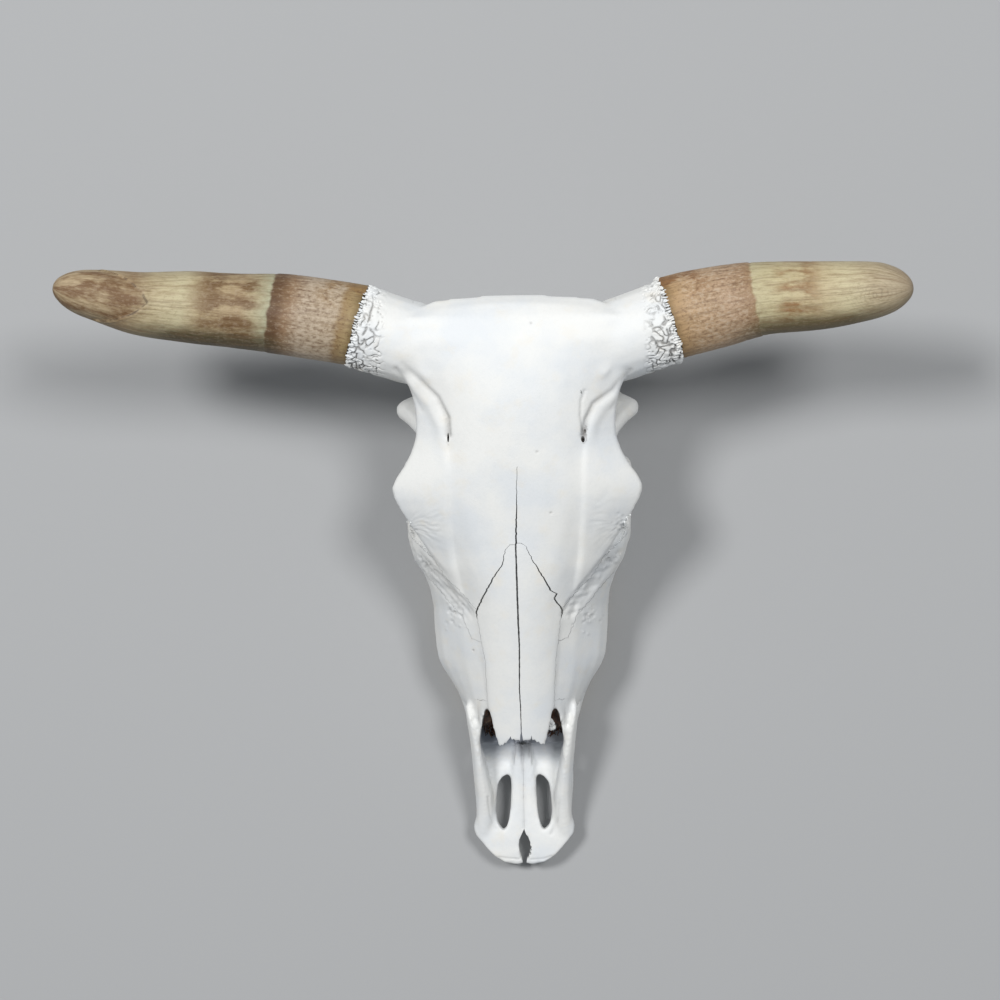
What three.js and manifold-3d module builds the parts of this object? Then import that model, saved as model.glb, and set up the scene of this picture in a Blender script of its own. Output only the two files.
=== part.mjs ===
// Skull of a domestic bull, without the lower jaw, lying face up as it rests on a table.
// Millimetres, +Z up. The nose points to -Y and the poll to +Y. "left" and "right" are the animal's own,
// so left is +X. Most forms are made for the left side, x > 0, and mirrored.
// Heights are above the floor, and y is measured from a line across the forehead between the orbits.

import * as THREE from "three";
import { mergeVertices } from "three/addons/utils/BufferGeometryUtils.js";
import Module from "manifold-3d";

const wasm = await Module();
wasm.setup();

// Driving dimensions

const gap = 0.35; // between bones that meet at a suture, and between horn and core
const bone = { colour: "#eeeeea", roughness: 0.62, metalness: 0 };
const horn = { colour: "#a8916c", roughness: 0.5, metalness: 0 };

// Profile of the forehead and nose along the midline, as [y, height]
const crownProfile = [
  [-330, 34], [-211, 88], [-150, 114], [-90, 141], [-38, 162], [0, 176], [40, 190],
  [80, 200], [120, 203], [145, 200], [160, 192], [168, 180],
];
// Half width of the forehead plate over temple and orbit, and the height of that edge
const browHalfWidth = [
  [-98, 30], [-88, 37], [-72, 50], [-57, 64], [-45, 74], [-22, 89], [-9, 97.5], [4, 103.2], [14, 103.8],
  [29, 93.5], [46, 84.6], [60, 82], [82, 83.5], [95, 88], [110, 94], [140, 97], [160, 90], [168, 64],
];
const browHeight = [
  [-98, 126], [-88, 126], [-72, 127], [-57, 128], [-45, 128], [-22, 137], [0, 147], [14, 151], [29, 157],
  [46, 161], [60, 164], [82, 171], [110, 183], [130, 192], [150, 194], [168, 180],
];
const browThickness = 13;

// Snout and cheeks: lines that run along the face, each as [y, x, height]
const nasalEdgeLine = [
  [-215, 29, 75], [-181, 31, 88], [-142, 33, 103], [-92, 34, 127], [-50, 44, 144], [-36, 46, 142],
  [-24, 44, 138], [-10, 28, 105], [8, 20, 88],
];
const cheekLine = [
  [-215, 37, 62], [-181, 44, 69], [-142, 57, 79], [-92, 62, 97], [-50, 78, 117], [-36, 81, 119],
  [-24, 84, 112], [-10, 46, 92], [8, 36, 82],
];
const facialCrest = [
  [-215, 43, 44], [-188, 46.8, 47], [-181, 49, 48], [-170, 54.5, 50], [-157, 62, 52], [-142, 71.4, 55],
  [-134, 73.6, 57], [-110, 75.6, 62], [-92, 75.4, 68], [-78, 77.5, 75], [-64, 82.3, 82], [-57, 85.6, 86],
  [-50, 90.5, 89], [-36, 94.5, 92], [-24, 95, 92], [-10, 60, 72], [8, 44, 66],
];
const gumOutside = [
  [-215, 41, 25], [-190, 50, 18], [-165, 55, 17], [-142, 62, 17], [-92, 71, 17], [-50, 70, 17],
  [-20, 56, 24], [8, 40, 36],
];
const gumInside = [
  [-215, 26, 22], [-190, 32, 18], [-165, 35, 17], [-142, 38, 17], [-92, 45, 17], [-50, 46, 17],
  [-20, 36, 24], [8, 30, 36],
];
const palateProfile = [[-215, 24], [-190, 28], [-142, 30], [-60, 31], [-20, 42], [8, 52]];

const nasal = {
  // half width of the pair, as [y, x]; the tip is at the low end
  outline: [
    [-214, 19.5], [-198, 24], [-177, 28.4], [-160, 29.2], [-119, 32.4], [-93, 35], [-80, 28.5], [-62, 18.5],
    [-46, 10.5], [-37, 5.5],
  ],
  edgeDrop: 13,
  thickness: 5.5,
  // what the air cut away between the two prongs of each tip
  notch: [[-1, -220], [-1, -207.5], [6.5, -207.5], [9.5, -206], [12.5, -209.5], [17, -213], [20, -220]],
};
// Side edge of the nasal opening, seen from above
const nasalOpening = [
  [0, -176], [28, -176], [31, -182], [33.3, -190], [35.6, -204], [36.4, -216], [36, -228], [34, -250], [0, -250],
];

const orbit = { centre: [90, 1.5, 116], radii: [50, 26.5, 29], tilt: [0, 0.1, 0.12] };

// Cheek teeth from front to back: length along the row, width across it, centre of the row
const teeth = [
  { name: "P2", length: 17, width: 15, x: 42.5 },
  { name: "P3", length: 19, width: 18, x: 46 },
  { name: "P4", length: 19, width: 20, x: 50 },
  { name: "M1", length: 25, width: 23, x: 55 },
  { name: "M2", length: 27, width: 24, x: 58.5 },
  { name: "M3", length: 29, width: 23, x: 59 },
];
const toothRowFront = -191;
const toothRoot = 25; // top of the crown, sunk in the gum

// Horns: centre line as [x, y, z], and the radius at each point
const corona = {
  path: [[50, 119, 148], [82, 130, 160], [106, 137.6, 165.5], [131, 146, 168.5]],
  radii: [30, 34.6, 34.6, 35.2],
};
const hornCore = { path: [[96, 136, 166], [129, 146.3, 168.5], [154, 152.5, 171]], radii: [28, 28, 25] };
const sheathEdge = { point: [129, 146.3, 168.5], normal: [0.955, 0.297, 0] };
const horns = {
  left: {
    side: 1,
    path: [
      [121, 146, 167.8], [143, 151.4, 169.5], [170, 156.7, 173], [204.7, 162.1, 180],
      [249, 162.6, 191], [287, 164.8, 204], [304, 165.2, 211],
    ],
    radii: [34.2, 34.4, 33.2, 30.2, 28, 24, 20],
  },
  right: {
    side: -1,
    path: [
      [121, 143.6, 167.8], [142, 147.9, 170], [188, 154.9, 174.5], [231, 158.2, 181.5], [266.5, 160.8, 190],
      [304, 163.4, 201], [335, 169.2, 214], [355.5, 173, 223],
    ],
    radii: [33.6, 33.8, 33.2, 30.8, 29.6, 26.2, 21.6, 17.2],
  },
};

// Small tools

// A smooth function through [t, value] pairs in rising order, level beyond both ends.
function through(pairs, column = 1) {
  const t = pairs.map((p) => p[0]);
  const v = pairs.map((p) => p[column]);
  const last = t.length - 1;
  const slope = v.map((_, i) => {
    const a = Math.max(i - 1, 0);
    const b = Math.min(i + 1, last);
    return (v[b] - v[a]) / (t[b] - t[a]);
  });
  return (at) => {
    if (at <= t[0]) return v[0];
    if (at >= t[last]) return v[last];
    let i = 0;
    while (at > t[i + 1]) i += 1;
    const h = t[i + 1] - t[i];
    const s = (at - t[i]) / h;
    const s2 = s * s;
    const s3 = s2 * s;
    return (
      v[i] * (2 * s3 - 3 * s2 + 1) + v[i + 1] * (3 * s2 - 2 * s3) +
      h * (slope[i] * (s3 - 2 * s2 + s) + slope[i + 1] * (s3 - s2))
    );
  };
}

const range = (n) => Array.from({ length: n }, (_, i) => i);
const mix = (a, b, s) => a + (b - a) * s;

// A solid from a closed geometry; a geometry that came out inside out is turned round.
function solidOf(geometry) {
  const bare = geometry.index ? geometry.toNonIndexed() : geometry.clone();
  bare.deleteAttribute("normal");
  bare.deleteAttribute("uv");
  const merged = mergeVertices(bare, 1e-3);
  const triVerts = new Uint32Array(merged.index.array);
  const made = new wasm.Manifold(
    new wasm.Mesh({ numProp: 3, vertProperties: merged.attributes.position.array, triVerts }),
  );
  if (made.volume() > 0) return made;
  for (let i = 0; i < triVerts.length; i += 3) {
    [triVerts[i + 1], triVerts[i + 2]] = [triVerts[i + 2], triVerts[i + 1]];
  }
  return new wasm.Manifold(
    new wasm.Mesh({ numProp: 3, vertProperties: merged.attributes.position.array, triVerts }),
  );
}

function geometryOf(solid) {
  const mesh = solid.getMesh();
  const positions = new Float32Array(mesh.numVert * 3);
  range(mesh.numVert).forEach((i) => {
    positions.set(mesh.vertProperties.subarray(i * mesh.numProp, i * mesh.numProp + 3), i * 3);
  });
  return new THREE.BufferGeometry()
    .setAttribute("position", new THREE.BufferAttribute(positions, 3))
    .setIndex(new THREE.BufferAttribute(mesh.triVerts, 1));
}

// A closed skin over rings of equal count, each an array of [x, y, z], with a fan over each end ring.
function skin(rings) {
  const n = rings[0].length;
  const points = rings.flat();
  const triangles = [];
  for (let r = 0; r + 1 < rings.length; r += 1) {
    for (let i = 0; i < n; i += 1) {
      const a = r * n + i;
      const b = r * n + ((i + 1) % n);
      triangles.push(a, b, a + n, b, b + n, a + n);
    }
  }
  [0, rings.length - 1].forEach((r) => {
    const centre = [0, 1, 2].map((k) => rings[r].reduce((sum, p) => sum + p[k], 0) / n);
    const hub = points.push(centre) - 1;
    for (let i = 0; i < n; i += 1) {
      const a = r * n + i;
      const b = r * n + ((i + 1) % n);
      triangles.push(...(r === 0 ? [hub, b, a] : [hub, a, b]));
    }
  });
  const geometry = new THREE.BufferGeometry();
  geometry.setAttribute("position", new THREE.BufferAttribute(new Float32Array(points.flat()), 3));
  geometry.setIndex(triangles);
  return solidOf(geometry);
}

// A limb along a smooth path, with a domed end where ends says so. sizes holds a radius, or
// [across, thick] half sizes, for each path point; across lies near the vector wide.
function limb(path, sizes, { wide = [0, 0, 1], sides = 9, steps = 6, ends = [false, true] } = {}) {
  const curve = new THREE.CatmullRomCurve3(path.map((p) => new THREE.Vector3(...p)));
  const stops = path.map((_, i) => i / (path.length - 1));
  const half = [0, 1].map((k) => through(stops.map((s, i) => [s, sizes[i][k] ?? sizes[i]])));
  const place = (s, shrink, push) => {
    const centre = curve.getPoint(s);
    const along = curve.getTangent(s);
    const v = new THREE.Vector3(...wide);
    v.addScaledVector(along, -v.dot(along)).normalize();
    const u = new THREE.Vector3().crossVectors(along, v);
    centre.addScaledVector(along, push);
    return range(sides).map((i) => {
      const angle = (2 * Math.PI * i) / sides;
      const a = half[0](s) * shrink * Math.cos(angle);
      const b = half[1](s) * shrink * Math.sin(angle);
      return centre.clone().addScaledVector(v, a).addScaledVector(u, b).toArray();
    });
  };
  const reach = (s) => Math.min(half[0](s), half[1](s));
  const rings = range(steps + 1).map((i) => place(i / steps, 1, 0));
  if (ends[0]) rings.unshift(place(0, 0.5, -0.86 * reach(0)), place(0, 0.87, -0.5 * reach(0)));
  if (ends[1]) rings.push(place(1, 0.87, 0.5 * reach(1)), place(1, 0.5, 0.86 * reach(1)));
  return skin(rings);
}

// An ellipsoid, turned by Euler angles in radians.
function blob(centre, radii, turn = [0, 0, 0], rows = 8) {
  const matrix = new THREE.Matrix4().compose(
    new THREE.Vector3(...centre),
    new THREE.Quaternion().setFromEuler(new THREE.Euler(...turn)),
    new THREE.Vector3(...radii),
  );
  return solidOf(new THREE.SphereGeometry(1, Math.round(rows * 1.6), rows).applyMatrix4(matrix));
}

function block(low, high) {
  const size = high.map((v, k) => v - low[k]);
  const centre = high.map((v, k) => (v + low[k]) / 2);
  return solidOf(new THREE.BoxGeometry(...size).translate(...centre));
}

// A prism over an outline. plane "xy" stands it up along z, and "yz" lays it along x.
function prism(outline, low, high, plane = "xy") {
  const shape = new THREE.Shape(outline.map((p) => new THREE.Vector2(...p)));
  const geometry = new THREE.ExtrudeGeometry(shape, { depth: high - low, bevelEnabled: false });
  geometry.translate(0, 0, low);
  if (plane === "yz") {
    const turned = new THREE.Matrix4().makeBasis(
      new THREE.Vector3(0, 1, 0),
      new THREE.Vector3(0, 0, 1),
      new THREE.Vector3(1, 0, 0),
    );
    geometry.applyMatrix4(turned);
  }
  return solidOf(geometry);
}

// A closed outline moved outward by a distance, corner by corner.
function widened(outline, by) {
  const area = outline.reduce((sum, [x, y], i) => {
    const [u, v] = outline[(i + 1) % outline.length];
    return sum + x * v - u * y;
  }, 0);
  const outward = area > 0 ? by : -by;
  return outline.map((p, i) => {
    const here = new THREE.Vector2(...p);
    const before = new THREE.Vector2(...outline.at(i - 1)).sub(here).negate().normalize();
    const after = new THREE.Vector2(...outline[(i + 1) % outline.length]).sub(here).normalize();
    const normal = new THREE.Vector2(before.y + after.y, -before.x - after.x);
    const stretch = Math.min(2 / normal.lengthSq(), 1.5);
    return here.addScaledVector(normal, outward * stretch).toArray();
  });
}

const mirrored = (solid) => solid.mirror([1, 0, 0]);
const both = (solid) => solid.add(mirrored(solid));
const joined = (solids) => solids.reduce((sum, s) => sum.add(s));
const largest = (solid) => solid.decompose().sort((a, b) => b.volume() - a.volume())[0];

// Points of a closed loop that runs smoothly through the given corners.
function smoothLoop(corners, perSpan) {
  const curve = new THREE.CatmullRomCurve3(corners.map(([x, z]) => new THREE.Vector3(x, 0, z)), true);
  const n = corners.length * perSpan;
  return range(n).map((i) => curve.getPoint(i / n)).map((p) => [p.x, p.z]);
}

const pairedLoop = (half) => [...half, ...half.slice(1, -1).reverse().map(([x, z]) => [-x, z])];

// Forehead: a wide plate, thick in the middle, from the poll to the root of the nose

const crown = through(crownProfile);
const browX = through(browHalfWidth);
const browZ = through(browHeight);

function foreheadRing(y) {
  const edge = browX(y);
  const low = browZ(y) - browThickness;
  const top = range(8).map((i) => {
    const share = Math.sin((i / 7) * (Math.PI / 2));
    return [edge * share, mix(crown(y), browZ(y), share ** 2.2)];
  });
  const under = [[edge + 0.5, browZ(y) - 6], [edge - 5, low], [edge * 0.55, low - 12], [0, low - 15]];
  const pollBow = y > 150 ? 5 : 0; // the crest between the horns is a shallow arch, seen from above
  return pairedLoop([...top, ...under]).map(([x, z]) => [x, y - pollBow * (x / 75) ** 2, z]);
}

const foreheadStations = [
  -98, -86, -72, -58, -45, -30, -18, -8, 2, 11, 20, 29, 40, 52, 64, 76, 88, 100, 114, 130, 148, 160, 165, 168,
];
const forehead = skin(foreheadStations.map(foreheadRing));

// Braincase, with the flat back of the head behind it

function superellipse(sides, power) {
  return range(sides).map((i) => {
    const angle = (2 * Math.PI * (i + 0.5)) / sides;
    const c = Math.cos(angle);
    const s = Math.sin(angle);
    const reach = (Math.abs(c) ** power + Math.abs(s) ** power) ** (-1 / power);
    return [c * reach, s * reach];
  });
}

const caseHalfWidth = through([[-50, 44], [-10, 42], [20, 42], [50, 46], [85, 53], [110, 60], [140, 58]]);
const caseFloor = through([[-50, 62], [0, 66], [50, 60], [90, 54], [140, 52]]);
const caseTop = through([[-50, 118], [0, 140], [60, 168], [140, 178]]);
const braincase = skin(range(9).map((i) => {
  const y = mix(-50, 142, i / 8);
  const half = (caseTop(y) - caseFloor(y)) / 2;
  return superellipse(14, 2.4).map(([u, v]) => [caseHalfWidth(y) * u, y, caseFloor(y) + half * (1 + v)]);
}));

const napeHalfWidth = through([
  [46, 24], [60, 50], [76, 70], [95, 79], [115, 79], [135, 76], [155, 80], [175, 86], [190, 84],
]);
const napeBack = through([
  [46, 120], [60, 126], [80, 133], [100, 140], [125, 149], [150, 158], [172, 164], [190, 158],
]);
const napeFront = through([[46, 104], [70, 96], [190, 92]]);
const nape = skin([46, 58, 72, 88, 106, 126, 146, 166, 190].map((z) => {
  const half = (napeBack(z) - napeFront(z)) / 2;
  return superellipse(14, 3.4).map(([u, v]) => [napeHalfWidth(z) * u, napeFront(z) + half * (1 + v), z]);
}));
const napeBoss = blob([0, 148, 140], [14, 9, 22], [0, 0, 0], 6);
const napeHollow = both(blob([38, 174, 128], [27, 28, 36], [0, 0, 0], 6));

// Base of the skull: condyles, the ear, and the processes it stands on behind

const condyle = blob([25, 136, 62], [18, 17, 22], [0.3, 0, -0.4], 7);
const paracondylar = limb(
  [[60, 116, 84], [60, 118, 52], [55, 112, 22], [50, 107, -6]],
  [[15, 9], [14, 8], [11, 6.5], [7, 5.5]],
  { wide: [0.3, 1, 0], sides: 8, steps: 5, ends: [false, false] },
);
const bulla = blob([42, 92, 46], [12, 21, 17], [0.25, 0, 0.1], 6);
const styloid = limb([[46, 78, 42], [47, 68, 30], [48, 61, 22]], [6, 4.5, 2.5], { steps: 3, sides: 7 });
const earTube = limb([[58, 106, 88], [78, 103, 84], [88, 101, 82]], [9.5, 9, 8.5], {
  steps: 3,
  ends: [false, false],
});
const earHole = limb([[72, 103.5, 84.8], [90, 100.8, 81.6]], [4.6, 5.2], {
  steps: 1,
  sides: 7,
  ends: [true, false],
});
const baseBar = limb(
  [[0, 130, 54], [0, 95, 52], [0, 60, 60], [0, 8, 66]],
  [[24, 10], [21, 10], [16, 9], [15, 8]],
  { wide: [1, 0, 0] },
);
const baseTubercle = blob([15, 84, 46], [9, 13, 8], [0, 0, 0], 5);
const pterygoidPlate = limb(
  [[27, -56, 44], [25, -26, 44], [22, 2, 50], [19, 26, 62]],
  [[17, 3], [19, 2.6], [15, 2.6], [7, 3]],
  { steps: 4, sides: 7 },
);
const hamulus = limb([[22, -4, 40], [22.5, 6, 31], [23.5, 14, 27]], [4, 3.2, 2.2], { steps: 3, sides: 6 });
const vomer = limb([[0, -105, 48], [0, -60, 54], [0, -12, 66]], [[14, 1.6], [14, 1.6], [6, 1.8]], {
  steps: 4,
  sides: 8,
});

// Cheekbone arch, joint tubercle and the bar behind the orbit

const arch = limb(
  [[74, -58, 80], [88.5, -36, 80], [91, -8, 77], [86, 22, 79], [78, 48, 84], [86, 66, 83], [95.5, 78.5, 80]],
  [[16, 8], [14, 7], [10, 6], [9, 5.5], [8, 5], [8.5, 6.5], [10, 10]],
  { steps: 10, sides: 8 },
);
const jointRoot = limb([[50, 94, 90], [72, 87, 82], [92, 80, 79]], [[15, 10], [12, 8], [10, 8.5]], {
  wide: [0, 1, 0],
  steps: 4,
});
const jointTubercle = blob([76, 76, 71], [22, 9, 8], [0, 0, -0.15], 6);
const orbitBar = limb(
  [[88, 16, 146], [91, 26, 130], [89, 31, 108], [84, 27, 84]],
  [[6, 8], [5.5, 6.5], [5.5, 6.5], [7, 8]],
  { wide: [1, 0, 0] },
);
const orbitCut = blob(orbit.centre, orbit.radii, orbit.tilt, 10);
const fossaCut = blob([88, 62, 122], [39, 33, 29], [0, 0, -0.15], 8);

// Snout block: one closed ring of bone lines, carried from under the orbit to the front of the upper jaw

const lineAt = (line, y) => [through(line, 1)(y), through(line, 2)(y)];

function snoutRing(y) {
  const ridge = y > -50 ? mix(crown(-50) - 4, 92, Math.min((y + 50) / 50, 1)) : crown(y) - 1;
  const half = [
    [0, ridge],
    lineAt(nasalEdgeLine, y),
    lineAt(cheekLine, y),
    lineAt(facialCrest, y),
    lineAt(gumOutside, y),
    lineAt(gumInside, y),
    [0, through(palateProfile)(y)],
  ];
  return smoothLoop(pairedLoop(half), 2).map(([x, z]) => [x, y, z]);
}

const snoutStations = [
  -215, -203, -190, -181, -170, -157, -146, -137, -126, -110, -92, -78, -64, -50, -36, -24, -10, 8,
];
const snout = skin(snoutStations.map(snoutRing));
const palateShelf = limb([[22, -196, 26], [22, -222, 26], [22, -240, 25]], [[20, 4.5], [19, 4], [17, 3]], {
  wide: [1, 0, 0],
  steps: 4,
});
const noseCavity = limb(
  [[0, -105, 70], [0, -150, 68], [0, -190, 60], [0, -235, 56]],
  [[24, 20], [26, 26], [26, 30], [34, 27]],
  { wide: [1, 0, 0], steps: 7, sides: 12, ends: [true, true] },
);
const nasalGap = both(prism(nasalOpening, 40, 200));
const throatCavity = both(
  limb([[10, -104, 50], [11, -66, 49], [12.5, -28, 44], [13, 8, 37]], [[7, 12], [8.5, 13], [10, 14], [10.5, 13]], {
    wide: [1, 0, 0],
    steps: 4,
    sides: 8,
  }),
);
const spinalHole = limb([[0, 96, 92], [0, 122, 78], [0, 160, 74]], [[24, 22], [17, 15], [20, 17]], {
  wide: [1, 0, 0],
  steps: 5,
  sides: 12,
});
const infraorbitalHole = limb([[45, -172, 44], [50, -186, 42], [55, -200, 38]], [3.6, 4.2, 5], {
  steps: 2,
  sides: 7,
  ends: [true, false],
});

// Cheek teeth: upright crowns with three ribs down the outer side

function tooth({ length, width, x }, front) {
  const y = front + length / 2;
  const ring = (z, swell) => superellipse(10, 3.5).map(([u, v]) => {
    const rib = u > 0.3 ? 0.7 * Math.cos(3 * Math.PI * v) : 0;
    return [x + (width / 2) * u * swell + rib, y + (length / 2) * 1.02 * v * swell, z];
  });
  return skin([ring(0, 0.9), ring(3, 0.98), ring(toothRoot, 1)]);
}

const toothFronts = teeth.map((_, i) => teeth.slice(0, i).reduce((sum, t) => sum + t.length, toothRowFront));
const toothRow = joined(teeth.map((t, i) => tooth(t, toothFronts[i])));

// Nasal bones: two curved plates side by side, each with two prongs at the tip

const nasalX = through(nasal.outline);
const nasalEnds = [nasal.outline[0][0], nasal.outline.at(-1)[0]];

function nasalPlate(grow) {
  const ring = (y) => {
    const edge = nasalX(y) + grow;
    const height = (x) => crown(y) - nasal.edgeDrop * (Math.abs(x) / 33) ** 2.2;
    const across = range(5).map((i) => (edge * i) / 4);
    const depth = nasal.thickness + grow;
    return [
      ...across.map((x) => [x, y, height(x) + 0.5 + 4 * grow]),
      ...across.reverse().map((x) => [x * 0.93, y, height(x) - depth]),
    ];
  };
  const between = [-206, -196, -177, -160, -140, -119, -104, -93, -85, -74, -62, -46];
  return skin([nasalEnds[0] - grow, ...between, nasalEnds[1] + grow].map(ring));
}

// Premaxilla: a flat toe split by a long opening, and a blade that climbs beside the nasal opening

const toeOutline = [
  [0, -236], [0, -297], [2.5, -300], [4.6, -306], [4, -313], [2.6, -319], [1.6, -323.5], [7, -324.8],
  [17.4, -322.6], [26.3, -317.2], [31, -312], [36, -306.3], [43.6, -297], [45, -289.6], [43.6, -285],
  [41.8, -278.6], [42.9, -265], [44, -250], [44.5, -236],
];
const toeOpening = [
  [11.4, -243], [18, -245], [22.4, -250.5], [24.2, -262], [25, -276], [23.3, -287], [18.1, -294.5],
  [15.5, -291], [13.5, -284], [11.9, -274], [10.9, -256],
];

function premaxilla(grow) {
  const wide = [1, 0, 0];
  const slab = limb(
    [[20, -340, 15], [20, -318, 18.5], [22, -292, 22], [22, -262, 25], [22, -230, 28]],
    [[34, 3.5], [34, 7], [34, 7], [34, 4.5], [34, 3.4]].map(([a, b]) => [a + grow, b + grow]),
    { wide, steps: 7, sides: 12, ends: [false, false] },
  );
  const opening = prism(widened(toeOpening, -grow), 0, 60);
  const toe = prism(widened(toeOutline, grow), 4, 60).intersect(slab).subtract(opening);
  const blade = limb(
    [[36, -294, 23], [34, -272, 30], [37, -240, 43], [41, -211, 57], [45.4, -188, 68], [46, -178, 72]],
    [[7, 7.5], [9.5, 8.5], [12, 7], [12, 5.4], [9, 3], [5, 2.6]].map(([a, b]) => [a + grow, b + grow]),
    { wide: [0, 0.5, 1], steps: 7, sides: 9, ends: [true, true] },
  );
  const rod = limb(
    [[5.4, -292, 24], [5.3, -262, 27], [5.2, -240, 31], [4.2, -218, 35]],
    [[5.6, 4.6], [5.5, 4.4], [5.5, 4], [4.4, 3]].map(([a, b]) => [a + grow, b + grow]),
    { wide, steps: 4, sides: 8, ends: [true, true] },
  );
  return joined([toe, blade, rod]).trimByPlane([1, 0, 0], gap / 2 - grow);
}

// Where one bone ends and the next begins: outlines seen from above as [x, y], or from the side as [y, z]

const seams = {
  lacrimal: {
    plane: "xy",
    outline: [
      [104, -20], [72, -49], [61, -67], [52.6, -74], [40, -88], [33, -96], [31, -121], [41, -118], [49, -98.5],
      [61, -85.4], [71.3, -72.4], [86, -58], [104, -48],
    ],
    reach: [78, 200],
  },
  zygomatic: {
    plane: "yz",
    outline: [
      [-48, 104], [-66, 86], [-79, 71], [-74, 52], [-20, 52], [46, 62], [52, 78], [44, 96], [36, 100], [36, 116],
      [20, 116], [18, 98], [0, 93], [-30, 94],
    ],
    reach: [58, 112],
  },
  maxilla: {
    plane: "yz",
    outline: [[-250, -6], [-29, -6], [-29, 76], [-50, 92], [-64, 118], [-96, 126], [-120, 152], [-250, 152]],
    reach: [-110, 110],
  },
  occipital: {
    plane: "yz",
    outline: [[98, -6], [98, 62], [113, 68], [114, 128], [128, 152], [150, 176], [210, 184], [210, -6]],
    reach: [-83, 83],
  },
  frontal: {
    plane: "yz",
    outline: [[-140, 84], [-30, 84], [-6, 108], [14, 115], [40, 115], [60, 128], [210, 128], [210, 230], [-140, 230]],
    reach: [-160, 160],
  },
  temporal: {
    plane: "yz",
    outline: [[0, 40], [28, 20], [98, 10], [140, 60], [140, 140], [0, 140]],
    reach: [34, 120],
  },
};

// The whole skull, then its bones one after another

const onEdgePlane = (solid, inward) => {
  const { point, normal } = sheathEdge;
  const offset = point.reduce((sum, p, k) => sum + p * normal[k], 0);
  return inward ? solid.trimByPlane(normal.map((n) => -n), gap - offset) : solid.trimByPlane(normal, offset);
};
const hornRoot = onEdgePlane(limb(corona.path, corona.radii, { sides: 18, steps: 5, ends: [false, false] }), true)
  .add(limb(hornCore.path, hornCore.radii, { sides: 12, steps: 3, ends: [false, false] }));
const floorCut = block([-400, -400, -60], [400, 400, 0]);
const limbs = [condyle, paracondylar, bulla, styloid, earTube, baseTubercle, pterygoidPlate, hamulus];
const sides = both(joined([...limbs, arch, jointRoot, jointTubercle, orbitBar, hornRoot, toothRow, palateShelf]));
const massive = joined([forehead, braincase, nape, snout]).subtract(joined([both(orbitCut), both(fossaCut)]));
const seamedNasals = both(nasalPlate(gap));
const seamedPremaxillae = both(premaxilla(gap));
const hollows = [both(earHole), both(infraorbitalHole), noseCavity, nasalGap, throatCavity, spinalHole, napeHollow];
let uncut = joined([massive, sides, napeBoss, baseBar])
  .subtract(joined([...hollows, floorCut]))
  .add(vomer)
  .subtract(seamedNasals)
  .subtract(seamedPremaxillae);

const leftOf = (solid) => solid.trimByPlane([1, 0, 0], gap / 2);

function take(name) {
  const { plane, outline, reach: [low, high] } = seams[name];
  const paired = low > 0;
  const bodies = uncut.intersect(prism(outline, low, high, plane));
  const seam = prism(widened(outline, gap), low - gap, high + gap, plane);
  uncut = uncut.subtract(paired ? both(seam) : seam);
  return bodies;
}

const bones = {
  nasal: leftOf(nasalPlate(0)).subtract(prism(nasal.notch, 0, 200)),
  premaxilla: premaxilla(0),
  zygomatic: take("zygomatic"),
  lacrimal: take("lacrimal"),
  maxilla: leftOf(take("maxilla")),
};
const occipital = take("occipital");
bones.frontal = leftOf(take("frontal"));
bones.temporal = take("temporal");

// Horn sheaths: curved cones that slip over the bony cores, open at the root

function hornSheath({ side, path, radii }) {
  const outer = onEdgePlane(limb(path, radii, { sides: 20, steps: 13 }), false);
  const socket = limb(hornCore.path, hornCore.radii.map((r) => r + gap), { sides: 12, steps: 3 });
  const sheath = largest(outer.subtract(socket));
  return side > 0 ? sheath : mirrored(sheath);
}

// Scene graph

const skullGroup = new THREE.Group();
skullGroup.name = "bull_skull";

function addMesh(name, solid, finish) {
  const material = new THREE.MeshStandardMaterial({
    color: finish.colour,
    roughness: finish.roughness,
    metalness: finish.metalness,
  });
  const mesh = new THREE.Mesh(geometryOf(largest(solid)), material);
  mesh.name = name;
  skullGroup.add(mesh);
}

for (const [name, solid] of Object.entries(bones)) {
  addMesh(`${name}_left`, solid, bone);
  addMesh(`${name}_right`, mirrored(solid), bone);
}
addMesh("occipital", occipital, bone);
addMesh("sphenoid", uncut, bone);
for (const [name, shape] of Object.entries(horns)) addMesh(`horn_sheath_${name}`, hornSheath(shape), horn);

// The origin is on the floor, under the middle of the whole skull with its horns
const bounds = new THREE.Box3().setFromObject(skullGroup);
const middle = bounds.getCenter(new THREE.Vector3());
skullGroup.position.set(-middle.x, -middle.y, -bounds.min.z);

export default skullGroup;
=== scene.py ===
# Bull skull without its lower jaw, lying face up on a pale floor and seen from straight above.
# Sizes are in millimetres in the skull's own frame: x from the midline, +x being the animal's left,
# y from a line across the forehead between the orbits, and z above the floor.
import math

import bmesh
import bpy
import numpy as np
from mathutils import Matrix, Vector, noise
from mathutils.bvhtree import BVHTree


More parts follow.
